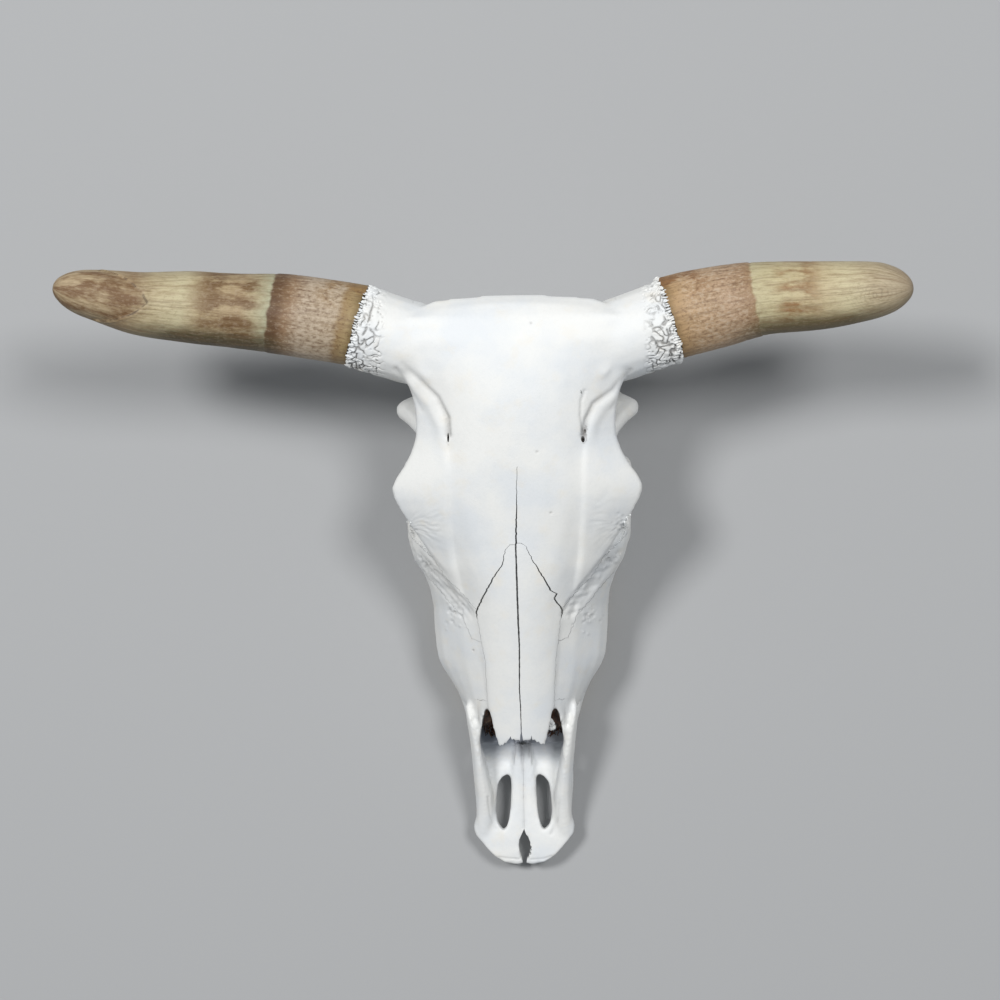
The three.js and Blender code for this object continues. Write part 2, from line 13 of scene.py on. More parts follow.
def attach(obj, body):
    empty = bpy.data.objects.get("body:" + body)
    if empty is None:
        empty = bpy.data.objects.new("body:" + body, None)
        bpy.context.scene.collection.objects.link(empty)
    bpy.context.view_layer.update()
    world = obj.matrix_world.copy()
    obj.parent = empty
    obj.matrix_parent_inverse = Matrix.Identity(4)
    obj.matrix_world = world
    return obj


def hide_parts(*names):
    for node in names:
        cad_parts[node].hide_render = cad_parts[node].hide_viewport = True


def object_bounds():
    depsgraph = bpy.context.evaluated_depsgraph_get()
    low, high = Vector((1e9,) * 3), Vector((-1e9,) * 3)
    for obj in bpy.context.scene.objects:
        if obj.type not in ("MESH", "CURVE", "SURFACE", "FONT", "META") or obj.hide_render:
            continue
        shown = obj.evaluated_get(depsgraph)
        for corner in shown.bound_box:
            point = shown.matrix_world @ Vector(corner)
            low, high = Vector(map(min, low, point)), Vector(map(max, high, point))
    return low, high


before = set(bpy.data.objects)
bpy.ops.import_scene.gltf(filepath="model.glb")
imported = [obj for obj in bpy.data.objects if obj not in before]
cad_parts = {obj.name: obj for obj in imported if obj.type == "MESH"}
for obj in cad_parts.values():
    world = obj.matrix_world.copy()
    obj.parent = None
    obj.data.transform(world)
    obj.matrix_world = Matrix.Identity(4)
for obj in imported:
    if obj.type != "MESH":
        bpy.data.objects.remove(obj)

cadBox = [list(corner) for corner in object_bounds()]
scene = bpy.context.scene
faceOrigin = np.array([24.409, 66.275, 0.0])  # the skull frame's origin, in the part's frame
boneNodes = [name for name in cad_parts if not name.startswith("horn")]


def toFrame(points):
    return (np.asarray(points, float) + faceOrigin) / 1000


def toSkull(points):
    return np.asarray(points, float) * 1000 - faceOrigin


# Floor, light and camera

studio = {
    "floorSize": 12.0,
    "floorColour": (0.43, 0.435, 0.44, 1),
    "floorRoughness": 0.8,
    "cameraPlace": (41.2, 0, 2000),
    "cameraTarget": (-13.8, 0, 165),
    "cameraRoll": 0.7,  # degrees
    "lens": 80,
    "sensorWidth": 36,
    "lightTarget": (0, -20, 60),
    "lights": [  # name, place, size across in metres, power in watts
        ("softbox_left", (-1750, 1150, 4000), 1.0, 104),
        ("softbox_right", (1500, 1100, 4200), 1.2, 84),
    ],
    "ambient": ((0.9, 0.95, 1.0, 1), 0.225),
}


def aimed(place, target, upward=(0, 1, 0)):
    # a matrix that looks along its own -z from place to target
    forward = (Vector(target) - Vector(place)).normalized()
    side = forward.cross(Vector(upward)).normalized()
    above = side.cross(forward)
    turn = Matrix((side, above, -forward)).transposed().to_4x4()
    return Matrix.Translation(Vector(place)) @ turn


def makeStudio(sizes):
    half = sizes["floorSize"] / 2
    corners = [(-half, -half, 0), (half, -half, 0), (half, half, 0), (-half, half, 0)]
    floorMesh = bpy.data.meshes.new("studio_floor")
    floorMesh.from_pydata(corners, [], [(0, 1, 2, 3)])
    floor = bpy.data.objects.new("studio_floor", floorMesh)
    scene.collection.objects.link(floor)
    paint = bpy.data.materials.new("floor_paint")
    paint.use_nodes = True
    shader = paint.node_tree.nodes["Principled BSDF"]
    shader.inputs["Base Color"].default_value = sizes["floorColour"]
    shader.inputs["Roughness"].default_value = sizes["floorRoughness"]
    floorMesh.materials.append(paint)
    for name, place, across, power in sizes["lights"]:
        lamp = bpy.data.lights.new(name, "AREA")
        lamp.shape = "DISK"
        lamp.size = across
        lamp.energy = power
        holder = bpy.data.objects.new(name, lamp)
        holder.matrix_world = aimed(toFrame(place), toFrame(sizes["lightTarget"]))
        scene.collection.objects.link(holder)
    world = bpy.data.worlds.new("studio_air")
    world.use_nodes = True
    sky = world.node_tree.nodes["Background"].inputs
    sky["Color"].default_value, sky["Strength"].default_value = sizes["ambient"]
    scene.world = world
    roll = math.radians(sizes["cameraRoll"])
    lens = bpy.data.cameras.new("camera")
    lens.lens = sizes["lens"]
    lens.sensor_width = sizes["sensorWidth"]
    camera = bpy.data.objects.new("camera", lens)
    upward = (math.sin(roll), math.cos(roll), 0)
    place, target = toFrame(sizes["cameraPlace"]), toFrame(sizes["cameraTarget"])
    camera.matrix_world = aimed(place, target, upward)
    scene.collection.objects.link(camera)
    scene.camera = camera
    scene.view_settings.view_transform = "Standard"


makeStudio(studio)
print("floor, lights and camera are up")


# Mesh tools

def readPoints(mesh):
    flat = np.empty(len(mesh.vertices) * 3, np.float32)
    mesh.vertices.foreach_get("co", flat)
    return toSkull(flat.reshape(-1, 3))


def writePoints(mesh, points):
    mesh.vertices.foreach_set("co", toFrame(points).astype(np.float32).ravel())
    mesh.update()


def readNormals(mesh):
    flat = np.empty(len(mesh.vertices) * 3, np.float32)
    mesh.vertex_normals.foreach_get("vector", flat)
    return flat.reshape(-1, 3).astype(float)


def readEdges(mesh):
    flat = np.empty(len(mesh.edges) * 2, np.int32)
    mesh.edges.foreach_get("vertices", flat)
    return flat.reshape(-1, 2)


def newPiece(name, mesh):
    piece = bpy.data.objects.new(name, mesh)
    scene.collection.objects.link(piece)
    return piece


def meshFrom(name, points, faces):
    mesh = bpy.data.meshes.new(name)
    mesh.from_pydata(toFrame(points).tolist(), [], faces)
    mesh.update()
    return mesh


def applied(piece):
    # the piece takes the mesh that its modifiers make
    graph = bpy.context.evaluated_depsgraph_get()
    made = bpy.data.meshes.new_from_object(piece.evaluated_get(graph))
    old = piece.data
    piece.modifiers.clear()
    piece.data = made
    bpy.data.meshes.remove(old)
    return piece


def copied(piece, name):
    return newPiece(name, piece.data.copy())


def combine(piece, other, operation):
    modifier = piece.modifiers.new("combine", "BOOLEAN")
    modifier.object = other
    modifier.operation = operation
    modifier.solver = "MANIFOLD"
    return applied(piece)


def discard(*pieces):
    for piece in pieces:
        mesh = piece.data
        bpy.data.objects.remove(piece)
        bpy.data.meshes.remove(mesh)


def setMark(mesh, name, values):
    # a value or a place kept on the points, where a finish reads it
    kind, key = ("FLOAT", "value") if values.ndim == 1 else ("FLOAT_VECTOR", "vector")
    layer = mesh.attributes.get(name) or mesh.attributes.new(name, kind, "POINT")
    layer.data.foreach_set(key, values.astype(np.float32).ravel())


def islands(mesh):
    # a label for each vertex, the same for all that hang together
    count = len(mesh.vertices)
    edges = readEdges(mesh)
    label = np.arange(count)
    while True:
        low = np.minimum(label[edges[:, 0]], label[edges[:, 1]])
        fresh = label.copy()
        np.minimum.at(fresh, edges[:, 0], low)
        np.minimum.at(fresh, edges[:, 1], low)
        fresh = fresh[fresh]
        fresh = fresh[fresh]
        if np.array_equal(fresh, label):
            return label
        label = fresh


def keepIsland(piece):
    # crumbs left by a cut go, and only the biggest island stays
    label = islands(piece.data)
    names, sizes = np.unique(label, return_counts=True)
    if len(names) == 1:
        return piece
    crumbs = np.flatnonzero(label != names[np.argmax(sizes)])
    mesh = bmesh.new()
    mesh.from_mesh(piece.data)
    mesh.verts.ensure_lookup_table()
    bmesh.ops.delete(mesh, geom=[mesh.verts[i] for i in crumbs], context="VERTS")
    mesh.to_mesh(piece.data)
    mesh.free()
    return piece


def skin(rings):
    # faces of a closed tube through rings of equal count, with a fan over each end
    n = len(rings[0])
    points = [p for ring in rings for p in ring]
    faces = []
    for r in range(len(rings) - 1):
        for i in range(n):
            a, b = r * n + i, r * n + (i + 1) % n
            faces.append((a, b, b + n, a + n))
    for r in (0, len(rings) - 1):
        hub = len(points)
        points.append(np.mean(rings[r], axis=0))
        for i in range(n):
            a, b = r * n + i, r * n + (i + 1) % n
            faces.append((hub, b, a) if r == 0 else (hub, a, b))
    return points, faces


def turnedOut(mesh):
    # faces of a closed mesh all point outwards
    work = bmesh.new()
    work.from_mesh(mesh)
    bmesh.ops.remove_doubles(work, verts=work.verts, dist=1e-6)
    bmesh.ops.recalc_face_normals(work, faces=work.faces)
    work.to_mesh(mesh)
    work.free()
    return mesh


def between(value, low, high):
    # 0 below low, 1 above high, and a smooth step from one to the other
    t = np.clip((value - low) / (high - low), 0, 1)
    return t * t * (3 - 2 * t)


def hump(away, width):
    # 1 at the middle of a soft rise, falling to nothing about two widths away
    return np.exp(-((away / width) ** 2))


def toLine(points, line):
    # for each point the distance in plan to a bent line, and the share of its length up to there
    flat = points[:, :2]
    best = np.full(len(flat), 1e9)
    share = np.zeros(len(flat))
    line = np.asarray(line, float)
    lengths = np.hypot(*(line[1:] - line[:-1]).T)
    total = lengths.sum()
    run = 0.0
    for a, b, length in zip(line[:-1], line[1:], lengths):
        t = np.clip(((flat - a) @ (b - a)) / length**2, 0, 1)
        away = np.hypot(*(flat - a - t[:, None] * (b - a)).T)
        closer = away < best
        best[closer] = away[closer]
        share[closer] = (run + t[closer] * length) / total
        run += length
    return best, share


def waves(points, size, seed, count=7):
    # soft unevenness between about -1 and 1, made of a few crossing waves
    dice = np.random.default_rng(seed)
    total = np.zeros(len(points))
    for _ in range(count):
        way = dice.normal(size=3)
        way /= np.linalg.norm(way)
        length = size * dice.uniform(0.7, 1.5)
        total += np.sin(points @ way * 2 * math.pi / length + dice.uniform(0, 2 * math.pi))
    return total / math.sqrt(count) / 1.2


def cloudy(points, size, seed):
    # even soft noise between about -1 and 1, with lumps of the given size
    shift = Vector((seed * 7.31, seed * -3.17, seed * 5.03))
    return np.array([noise.noise(Vector(point) + shift) for point in (points / size).tolist()])


def through(table, at):
    # a smooth line through (place, value) pairs, level beyond its ends
    t, v = np.asarray(table, float).T
    slope = np.gradient(v, t) if len(t) > 2 else np.full(2, (v[1] - v[0]) / (t[1] - t[0]))
    at = np.clip(at, t[0], t[-1])
    i = np.clip(np.searchsorted(t, at, side="right") - 1, 0, len(t) - 2)
    h = t[i + 1] - t[i]
    s = (at - t[i]) / h
    return (
        v[i] * (2 * s**3 - 3 * s**2 + 1) + v[i + 1] * (3 * s**2 - 2 * s**3)
        + h * (slope[i] * (s**3 - 2 * s**2 + s) + slope[i + 1] * (s**3 - s**2))
    )


def toothed(outline, pitch, depth, seed):
    # an outline with small uneven teeth
    dice = np.random.default_rng(seed)
    corners = np.asarray(outline, float)
    made = []
    side = 1
    for a, b in zip(corners, np.roll(corners, -1, axis=0)):
        length = np.hypot(*(b - a))
        steps = max(1, round(length / pitch))
        across = np.array([a[1] - b[1], b[0] - a[0]]) / length
        for i in range(steps):
            side = -side
            push = 0 if i == 0 else side * depth * dice.uniform(0.2, 1)
            along = (i + (0 if i == 0 else dice.uniform(-0.25, 0.25))) / steps
            made.append(a + (b - a) * along + across * push)
    return np.array(made)


def widened(outline, by):
    # a closed outline moved outward by a distance, corner by corner
    here = np.asarray(outline, float)
    ahead = np.roll(here, -1, axis=0)
    area = np.sum(here[:, 0] * ahead[:, 1] - ahead[:, 0] * here[:, 1])
    before = here - np.roll(here, 1, axis=0)
    after = ahead - here
    before /= np.hypot(*before.T)[:, None]
    after /= np.hypot(*after.T)[:, None]
    normal = np.stack([before[:, 1] + after[:, 1], -before[:, 0] - after[:, 0]], 1)
    stretch = np.minimum(2 / (normal**2).sum(1), 1.5)
    return here + normal * (stretch * math.copysign(by, area))[:, None]


def prism(outline, low, high, plane, mirror=False):
    # upright over an outline seen from above, or laid along x over one seen from the side
    n = len(outline)
    rings = []
    for level in (low, high):
        for a, b in outline:
            rings.append((a, b, level) if plane == "xy" else (level, a, b))
    points = np.array(rings, float)
    if mirror:
        points[:, 0] *= -1
    faces = [tuple(range(n)), tuple(range(n, 2 * n))]
    faces += [(i, (i + 1) % n, (i + 1) % n + n, i + n) for i in range(n)]
    return newPiece("cutter", turnedOut(meshFrom("cutter", points, faces)))


# The bony skull in one body: every bone's solid joined, evened out and made fine

body = {
    "closing": 0.4,  # moved out by this, so that the gaps of the seams close
    "voxel": 2.0,
    "rounds": 14,
}


def joinedBones():
    work = bmesh.new()
    for name in boneNodes:
        work.from_mesh(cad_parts[name].data)
    bmesh.ops.remove_doubles(work, verts=work.verts, dist=2e-6)
    mesh = bpy.data.meshes.new("bones")
    work.to_mesh(mesh)
    work.free()
    return newPiece("bones", mesh)


def evened(points, edges, strength, rounds):
    # averaging with the neighbours, then the same on what it took away, so that nothing shrinks
    count = len(points)
    ends = np.concatenate([edges[:, 0], edges[:, 1]])
    others = np.concatenate([edges[:, 1], edges[:, 0]])
    near = np.bincount(ends, minlength=count)[:, None]

    def averaged(values):
        for _ in range(rounds):
            columns = range(values.shape[1])
            total = np.stack([np.bincount(ends, values[others, k], count) for k in columns], 1)
            values = values + strength[:, None] * (total / near - values)
        return values

    smooth = averaged(points)
    return smooth + averaged(points - smooth)


def onTeeth(points, top, inner=33):
    # true on the two rows of cheek teeth, below a height
    x, y, z = points.T
    return (z < top) & (y > -196) & (y < -48) & (np.abs(x) > inner)


def evenness(points, normals):
    # how strongly each place is evened out: most on the broad face, least on teeth and blades
    x, y, z = np.abs(points[:, 0]), points[:, 1], points[:, 2]
    broad = between(normals[:, 2], 0.75, 0.9) * between(z, 118, 128) * between(y, -190, -170)
    fine = (y < -188) | ((z < 60) & (y > -60) & (x < 34))
    strength = np.where(onTeeth(points, 22, 28), 0.04, np.where(fine, 0.16, 0.4))
    return np.maximum(strength, broad * 0.9)


bones = joinedBones()
points = readPoints(bones.data) + readNormals(bones.data) * body["closing"]
writePoints(bones.data, points)
modifier = bones.modifiers.new("remesh", "REMESH")
modifier.mode = "VOXEL"
modifier.voxel_size = body["voxel"] / 1000
applied(bones)
print("bones joined:", len(bones.data.vertices), "points")

points = readPoints(bones.data)
edges = readEdges(bones.data)
normals = readNormals(bones.data)
points -= normals * body["closing"]
strength = evenness(points, normals)
strength = evened(strength[:, None], edges, np.full(len(points), 0.5), 4)[:, 0].clip(0.02, 0.9)
points = evened(points, edges, strength, body["rounds"])
writePoints(bones.data, points)
modifier = bones.modifiers.new("fine", "SUBSURF")
modifier.levels = 1
modifier.render_levels = 1
applied(bones)
print("bones evened:", len(bones.data.vertices), "points")


# Marks on the face: grooves, folds, pits, wrinkles and rough patches pressed into the fine body

face = {
    "grooves": [  # line in plan, depth at its start and end, and half width
        ([(92, 104), (80.3, 88.9), (64.5, 77.5), (58.5, 65), (56.1, 52.3)], 0.4, 2.6, 2.3),
        ([(-91, 112), (-79.4, 100.2), (-63.7, 84), (-55.8, 67.6), (-55.3, 53.8)], 0.5, 2.6, 2.3),
        ([(57, 88), (54, 80), (53.5, 68), (55.5, 56)], 0.7, 0.9, 1.4),
        ([(-22.7, -317.3), (-14, -318.8), (-5, -319.6)], 0.5, 0.8, 0.8),
        ([(6, -320), (16.3, -319.5), (24, -316.5)], 0.8, 0.4, 0.8),
        ([(-0.5, -216), (-0.4, -234), (0.2, -250)], 2.0, 0.8, 1.1),
        ([(0.2, -253), (0.1, -270), (0, -292)], 0.8, 0.8, 1.1),
        ([(-6.4, -208), (-7.5, -220), (-9.3, -234)], 1.5, 1.1, 1.0),
        ([(7.2, -208), (8, -221), (8.6, -234)], 1.5, 1.1, 1.0),
        ([(5.4, -212), (5.6, -219), (5.7, -228)], 1.6, 0.9, 0.9),
        ([(-97, 108), (-86, 92), (-77, 74)], 0.9, 0.3, 2.0),
        ([(95, 104), (86, 90), (79, 74)], 0.9, 0.3, 2.0),
        ([(31, -268), (29.5, -284), (24, -297)], 0.4, 1.0, 1.3),
        ([(-31, -262), (-29.5, -280), (-25, -292)], 0.9, 0.5, 1.2),
    ],
    "folds": [  # line in plan, depth, width towards the midline and away from it
        (
            [(55.6, 56), (53.3, 23.8), (52.1, -17.3), (50.1, -51), (46, -74), (41, -92)],
            2.3, 12, 3.2,
        ),
        (
            [
                (-55.4, 58), (-53.4, 25.1), (-54.7, -16.1), (-52.9, -49.9), (-47.8, -75.4),
                (-41, -94),
            ],
            2.4, 12, 3.2,
        ),
    ],
    "ridges": [  # line in plan, height and half width
        ([(97, 99), (87, 88), (72, 75), (63.5, 61), (62, 40)], 1.2, 4.2),
        ([(-97, 106), (-87, 97), (-71, 79), (-62.5, 61), (-61.5, 40)], 1.3, 4.2),
    ],
    "pits": [  # place and radius
        (14.1, 143.1, 0.9), (17.6, 38.7, 0.9), (28.2, -11.2, 0.9), (-40, -128, 0.8),
        (44, -131, 0.8),
    ],
    "drilled": [  # place, half width, half length and depth of the nerve holes above the orbits
        (56.9, 58.4, 1.3, 2.0, 8), (55.1, 51.4, 2.1, 3.2, 11), (54.2, 87.4, 0.9, 1.3, 5),
        (-55.3, 54, 1.1, 4.6, 10),
    ],
    "tearBone": {  # the sunken band in front of each orbit
        "left": [(86, -40), (73, -57), (58, -74), (46, -90), (38, -104)],
        "right": [(-90, -44), (-76, -60), (-62, -76), (-50, -88), (-40, -104)],
        "depth": 1.7, "halfWidth": 6.0,
    },
    "fans": [((-93, -22), -1), ((91, -20), 1)],  # wrinkles that spread from the front of the orbit
    "rough": [  # place, reach and count of a patch of small dimples
        ((-56, -96), 15, 46), ((58, -100), 15, 40), ((88, -24), 12, 40), ((-90, -28), 12, 40),
        ((78, -52), 11, 30), ((-80, -56), 11, 30),
    ],
    "uneven": [(60, 0.3), (17, 0.03)],  # length of a wave, and its height
    "toothRib": 8.9,  # spacing of the upright ribs on the teeth
    "drillLean": -24,  # degrees from upright
    "browTop": [(20, 183), (50, 181), (60, 182), (90, 189)],  # height of the brow where it is bored
    "crack": [  # place and width
        (1.0, 27, 0.3), (0.3, 10, 0.4), (0.1, -0.2, 0.6), (-0.6, -20, 1.2), (-1.1, -37, 1.4),
    ],
    "crackFloor": 150,
}


def pressed(points, normals, sizes):
    # how far each point moves along its normal, and how dark it is painted in its grooves and pits:
    # dust and painted shade
    x, y, z = points.T
    side = np.abs(x)
    facing = between(normals[:, 2], 0.1, 0.5)
    top = facing * ((z > 100) | (y < -180))
    move = np.zeros(len(points))
    dustAndShade = np.zeros(len(points))
    # grooves are painted darker inside: dust and painted shade
    for line, first, last, width in sizes["grooves"]:
        away, share = toLine(points, line)
        shape = hump(away, width) * (first + (last - first) * share) * facing * (z > 20)
        move -= shape
        dustAndShade += shape * 0.16
    for line, depth, inner, outer in sizes["folds"]:
        away, share = toLine(points, line)
        ys, xs = np.array(line)[::-1, 1], np.abs(np.array(line))[::-1, 0]
        width = np.where(np.abs(x) < np.interp(y, ys, xs), inner, outer)
        fade = between(share, 0, 0.12) * (1 - between(share, 0.8, 1))
        fade *= 0.6 + 0.4 * between(share, 0.3, 0.7)
        move -= hump(away, width) * depth * fade * top * (np.sign(x) == np.sign(line[0][0]))
    for line, height, width in sizes["ridges"]:
        away, share = toLine(points, line)
        fade = between(share, 0, 0.2) * (1 - between(share, 0.7, 1))
        move += hump(away, width) * height * fade * top
    # pits are painted darker: dust and painted shade
    for px, py, radius in sizes["pits"]:
        shape = np.exp(-(((x - px) ** 2 + (y - py) ** 2) / radius**2)) * top
        move -= shape * radius
        dustAndShade += shape * 0.45
    # the sunken bands are painted a little darker: dust and painted shade
    band = sizes["tearBone"]
    for label in ("left", "right"):
        away, share = toLine(points, band[label])
        shape = 1 - between(away, band["halfWidth"] - 3, band["halfWidth"] + 2)
        shape *= facing * (z > 88)
        shape *= between(share, 0, 0.1) * (1 - between(share, 0.85, 1))
        move -= shape * band["depth"] * (1 + 0.35 * waves(points, 9, 31))
        dustAndShade += shape * 0.10
    for (cx, cy), flip in sizes["fans"]:
        reach = np.hypot(x - cx, y - cy)
        angle = np.arctan2(y - cy, -flip * (x - cx))
        inside = between(reach, 3, 9) * (1 - between(reach, 26, 40))
        inside *= 1 - between(np.abs(angle), 0.9, 1.3)
        ray = np.sin(angle * 17 + 4 * waves(points, 30, 32))
        ray += 0.5 * np.sin(angle * 41 + reach * 0.14)
        move += inside * top * ray * 0.09 * (1 + 0.7 * waves(points, 19, 33))
    dice = np.random.default_rng(40)
    # the dimples are painted a little darker: dust and painted shade
    for (cx, cy), reach, count in sizes["rough"]:
        within = np.hypot(x - cx, y - cy) < reach * 1.5
        near = np.flatnonzero(within & (normals[:, 2] > 0.05) & (z > 60))
        for _ in range(count):
            turn, away = dice.uniform(0, 2 * math.pi), reach * abs(dice.normal(0, 0.5))
            px, py = cx + away * math.cos(turn), cy + away * math.sin(turn)
            radius = dice.uniform(0.7, 1.5)
            shape = np.exp(-(((x[near] - px) ** 2 + (y[near] - py) ** 2) / radius**2))
            move[near] -= shape * radius * dice.choice([0.55, 0.4, -0.35])
            dustAndShade[near] += shape * 0.07
    row = onTeeth(points, 23)
    rib = np.cos(2 * math.pi * y / sizes["toothRib"])
    move += row * between(np.abs(normals[:, 0]), 0.4, 0.8) * 0.5 * rib
    hollow = np.abs(np.sin(math.pi * y / sizes["toothRib"] + 1.2 * np.sin(side * 0.9)))
    chewing = row * between(-normals[:, 2], 0.5, 0.9) * (z < 3)
    move -= chewing * 1.1 * (1 - between(hollow, 0.15, 0.5))
    # the hollows of the chewing faces and the troughs between the ribs are painted darker: dust and
    # painted shade
    dustAndShade += chewing * 0.5 * (1 - between(hollow, 0.1, 0.4)) + row * 0.25 * between(-rib, 0.7, 1)
    for length, height in sizes["uneven"]:
        move += waves(points, length, 50 + int(length)) * height * (z > 24)
    return move, np.clip(dustAndShade, 0, 1)


points, normals = readPoints(bones.data), readNormals(bones.data)
move, dustAndShade = pressed(points, normals, face)
points += normals * move[:, None]
points[:, 2] = np.maximum(points[:, 2], 0)
writePoints(bones.data, points)
# the darkness kept for the finish: dust and painted shade in the recesses
setMark(bones.data, "dustAndShade", dustAndShade)


farOut = 400  # past the skull on every side
overFace = 220  # higher than the face


def drill(sizes):
    # short rods that lean forward, to bore the nerve holes with
    work = bmesh.new()
    for px, py, half, long, depth in sizes["drilled"]:
        height = float(through(sizes["browTop"], py)) + 3
        turn = Matrix.Rotation(math.radians(sizes["drillLean"]), 4, "X")
        oval = Matrix.Diagonal((1, long / half, 1, 1))
        place = Matrix.Translation(Vector(toFrame((px, py, height)))) @ turn @ oval
        bmesh.ops.create_cone(
            work, cap_ends=True, segments=24, radius1=half * 0.7 / 1000, radius2=half * 1.1 / 1000,
            depth=2 * depth / 1000, matrix=place,
        )
    mesh = bpy.data.meshes.new("drill")
    work.to_mesh(mesh)
    work.free()
    return newPiece("drill", mesh)


def crackBlade(sizes, seed):
    # a thin wedge that opens the forehead's midline crack
    dice = np.random.default_rng(seed)
    crack = np.array(sizes["crack"])
    ys = np.linspace(crack[0, 1], crack[-1, 1], 44)
    middle = np.interp(-ys, -crack[:, 1], crack[:, 0]) + dice.uniform(-0.25, 0.25, len(ys))
    half = np.interp(-ys, -crack[:, 1], crack[:, 2]) / 2
    outline = [*zip(middle + half, ys), *zip((middle - half)[::-1], ys[::-1])]
    return prism(outline, sizes["crackFloor"], overFace, "xy")


print("face marked")

# Cutting the body into its bones, along seams with small teeth

seams = {  # a seam's outline lies in a plane, and reaches this far along the third direction
    "gap": 0.18,
    "tooth": (2.6, 0.7),  # length along a seam, and how far it stands out
    "premaxilla": {
        "plane": "yz", "reach": (-110, 110), "gap": 0.08,
        "outline": [
            (-400, -10), (-238, -10), (-238, 27), (-215, 31), (-214, 42), (-196, 52), (-180, 62),
            (-172, 74), (-172, 110), (-400, 110),
        ],
    },
    "zygomatic": {
        "plane": "yz", "reach": (58, 112),
        "outline": [
            (-48, 104), (-66, 86), (-79, 71), (-74, 52), (-20, 52), (46, 62), (52, 78), (44, 96),
            (36, 100), (36, 116), (20, 116), (18, 98), (0, 93), (-30, 94),
        ],
    },
    "lacrimal": {
        "plane": "xy", "reach": (78, 200),
        "outline": [
            (104, -20), (72, -49), (61, -67), (52.6, -74), (40, -88), (33, -96), (31, -121),
            (41, -118), (49, -98.5), (61, -85.4), (71.3, -72.4), (86, -58), (104, -48),
        ],
    },
    "maxilla": {
        "plane": "yz", "reach": (-110, 110),
        "outline": [
            (-250, -6), (-29, -6), (-29, 76), (-50, 92), (-64, 118), (-96, 126), (-120, 152),
            (-250, 152),
        ],
    },
    "occipital": {
        "plane": "yz", "reach": (-83, 83),
        "outline": [
            (98, -6), (98, 62), (113, 68), (114, 128), (128, 152), (150, 176), (210, 184),
            (210, -6),
        ],
    },
    "frontal": {
        "plane": "yz", "reach": (-170, 170),
        "outline": [
            (-140, 84), (-30, 84), (-6, 108), (14, 115), (40, 115), (60, 128), (210, 128),
            (210, 230), (-140, 230),
        ],
    },
    "temporal": {
        "plane": "yz", "reach": (34, 120),
        "outline": [(0, 40), (28, 20), (98, 10), (140, 60), (140, 140), (0, 140)],
    },
}


def joinedPieces(first, second):
    work = bmesh.new()
    work.from_mesh(first.data)
    work.from_mesh(second.data)
    work.to_mesh(first.data)
    work.free()
    discard(second)
    return first


def cutter(seam, seed, grow=0.0):
    outline = toothed(seam["outline"], *seams["tooth"], seed)
    if grow:
        outline = widened(outline, grow)
    low, high = seam["reach"]
    made = prism(outline, low - grow, high + grow, seam["plane"])
    if low > 0:
        joinedPieces(made, prism(outline, low - grow, high + grow, seam["plane"], mirror=True))
    return made


def taken(rest, name, seed):
    # the bone inside its seam, cut out of the rest with a hairline gap
    seam = seams[name]
    mould = cutter(seam, seed)
    part = combine(copied(rest, name), mould, "INTERSECT")
    wide = cutter(seam, seed, seam.get("gap", seams["gap"]))
    combine(rest, wide, "DIFFERENCE")
    discard(mould, wide)
    return part


def halves(part, name, slit=0.0):
    # the left and the right bone of a pair
    sides = []
    for label, low, high in (("left", slit / 2, farOut), ("right", -farOut, -slit / 2)):
        corners = [(low, -farOut), (high, -farOut), (high, farOut), (low, farOut)]
        block = prism(corners, -50, farOut, "xy")
        half = combine(copied(part, f"{name}_{label}"), block, "INTERSECT")
        sides.append(keepIsland(half))
        discard(block)
    discard(part)
    return sides


# Nasal bones: their outline is cut down into the face

nasals = {
    "crown": [(-330, 34), (-211, 88), (-150, 114), (-90, 141), (-38, 162), (0, 176), (40, 190)],
    "edgeDrop": 13,
    "thickness": 5.5,
    "sideGap": [
        (-216, 0.13), (-101, 0.15), (-95, 1.4), (-80, 1.5), (-62, 1.2), (-48, 0.6), (-37, 0.3),
    ],
    "middleGap": [
        (-216, 1.5), (-203, 1.2), (-190, 0.6), (-172, 0.9), (-125, 1.2), (-99, 1.5), (-72, 1.5),
        (-36, 1.3),
    ],
    "tips": [  # the ragged front edge
        (-27, -216), (-22.5, -214.5), (-19.1, -212.6), (-17.6, -210.8), (-16.4, -211.6),
        (-14.8, -209), (-13.4, -209.6), (-12.2, -207.2), (-10.6, -205.4), (-9.5, -203.2),
        (-8.4, -206.3), (-6.6, -205.4), (-5.2, -207.2), (-3.2, -206.4), (-1.4, -207.4),
        (-0.9, -201), (0.5, -201.2), (1.4, -207.6), (3.6, -206.4), (5.4, -207.8), (7.8, -206),
        (8.6, -202.4), (9.2, -207), (11.4, -206.4), (13, -209), (14.6, -208.2), (16.6, -211),
        (18.4, -210), (21.2, -212.2), (23, -214), (27, -216),
    ],
    "middle": [  # the line between the two bones
        (-216, -0.1), (-178, -0.2), (-162, -0.9), (-125, -0.1), (-99, -0.7), (-72, -1.0),
        (-36, -1.4),
    ],
    "left": [
        (-216, 19.5), (-198, 24), (-177, 28.4), (-160, 29.2), (-137, 30.4), (-119, 33), (-93, 35.9),
        (-88.9, 32.6), (-82.7, 28.8), (-79.4, 32.2), (-76.6, 26.4), (-62.8, 19.1), (-50.1, 11.9),
        (-38.3, 6.8), (-36, 3),
    ],
    "right": [
        (-216, 19.5), (-198, 24), (-177, 28.4), (-160, 29.4), (-137, 29.4), (-120, 32.6),
        (-94.3, 36), (-89.9, 33.7), (-83, 30), (-74.3, 25.4), (-66.2, 20.9), (-54.9, 13.1),
        (-41.5, 9.8), (-37.3, 6.1),
    ],
}


def nasalTop(x, y):
    # height of the outer face of the nasal bones, which falls away to both sides
    return through(nasals["crown"], y) - nasals["edgeDrop"] * (np.abs(x) / 33) ** 2.2


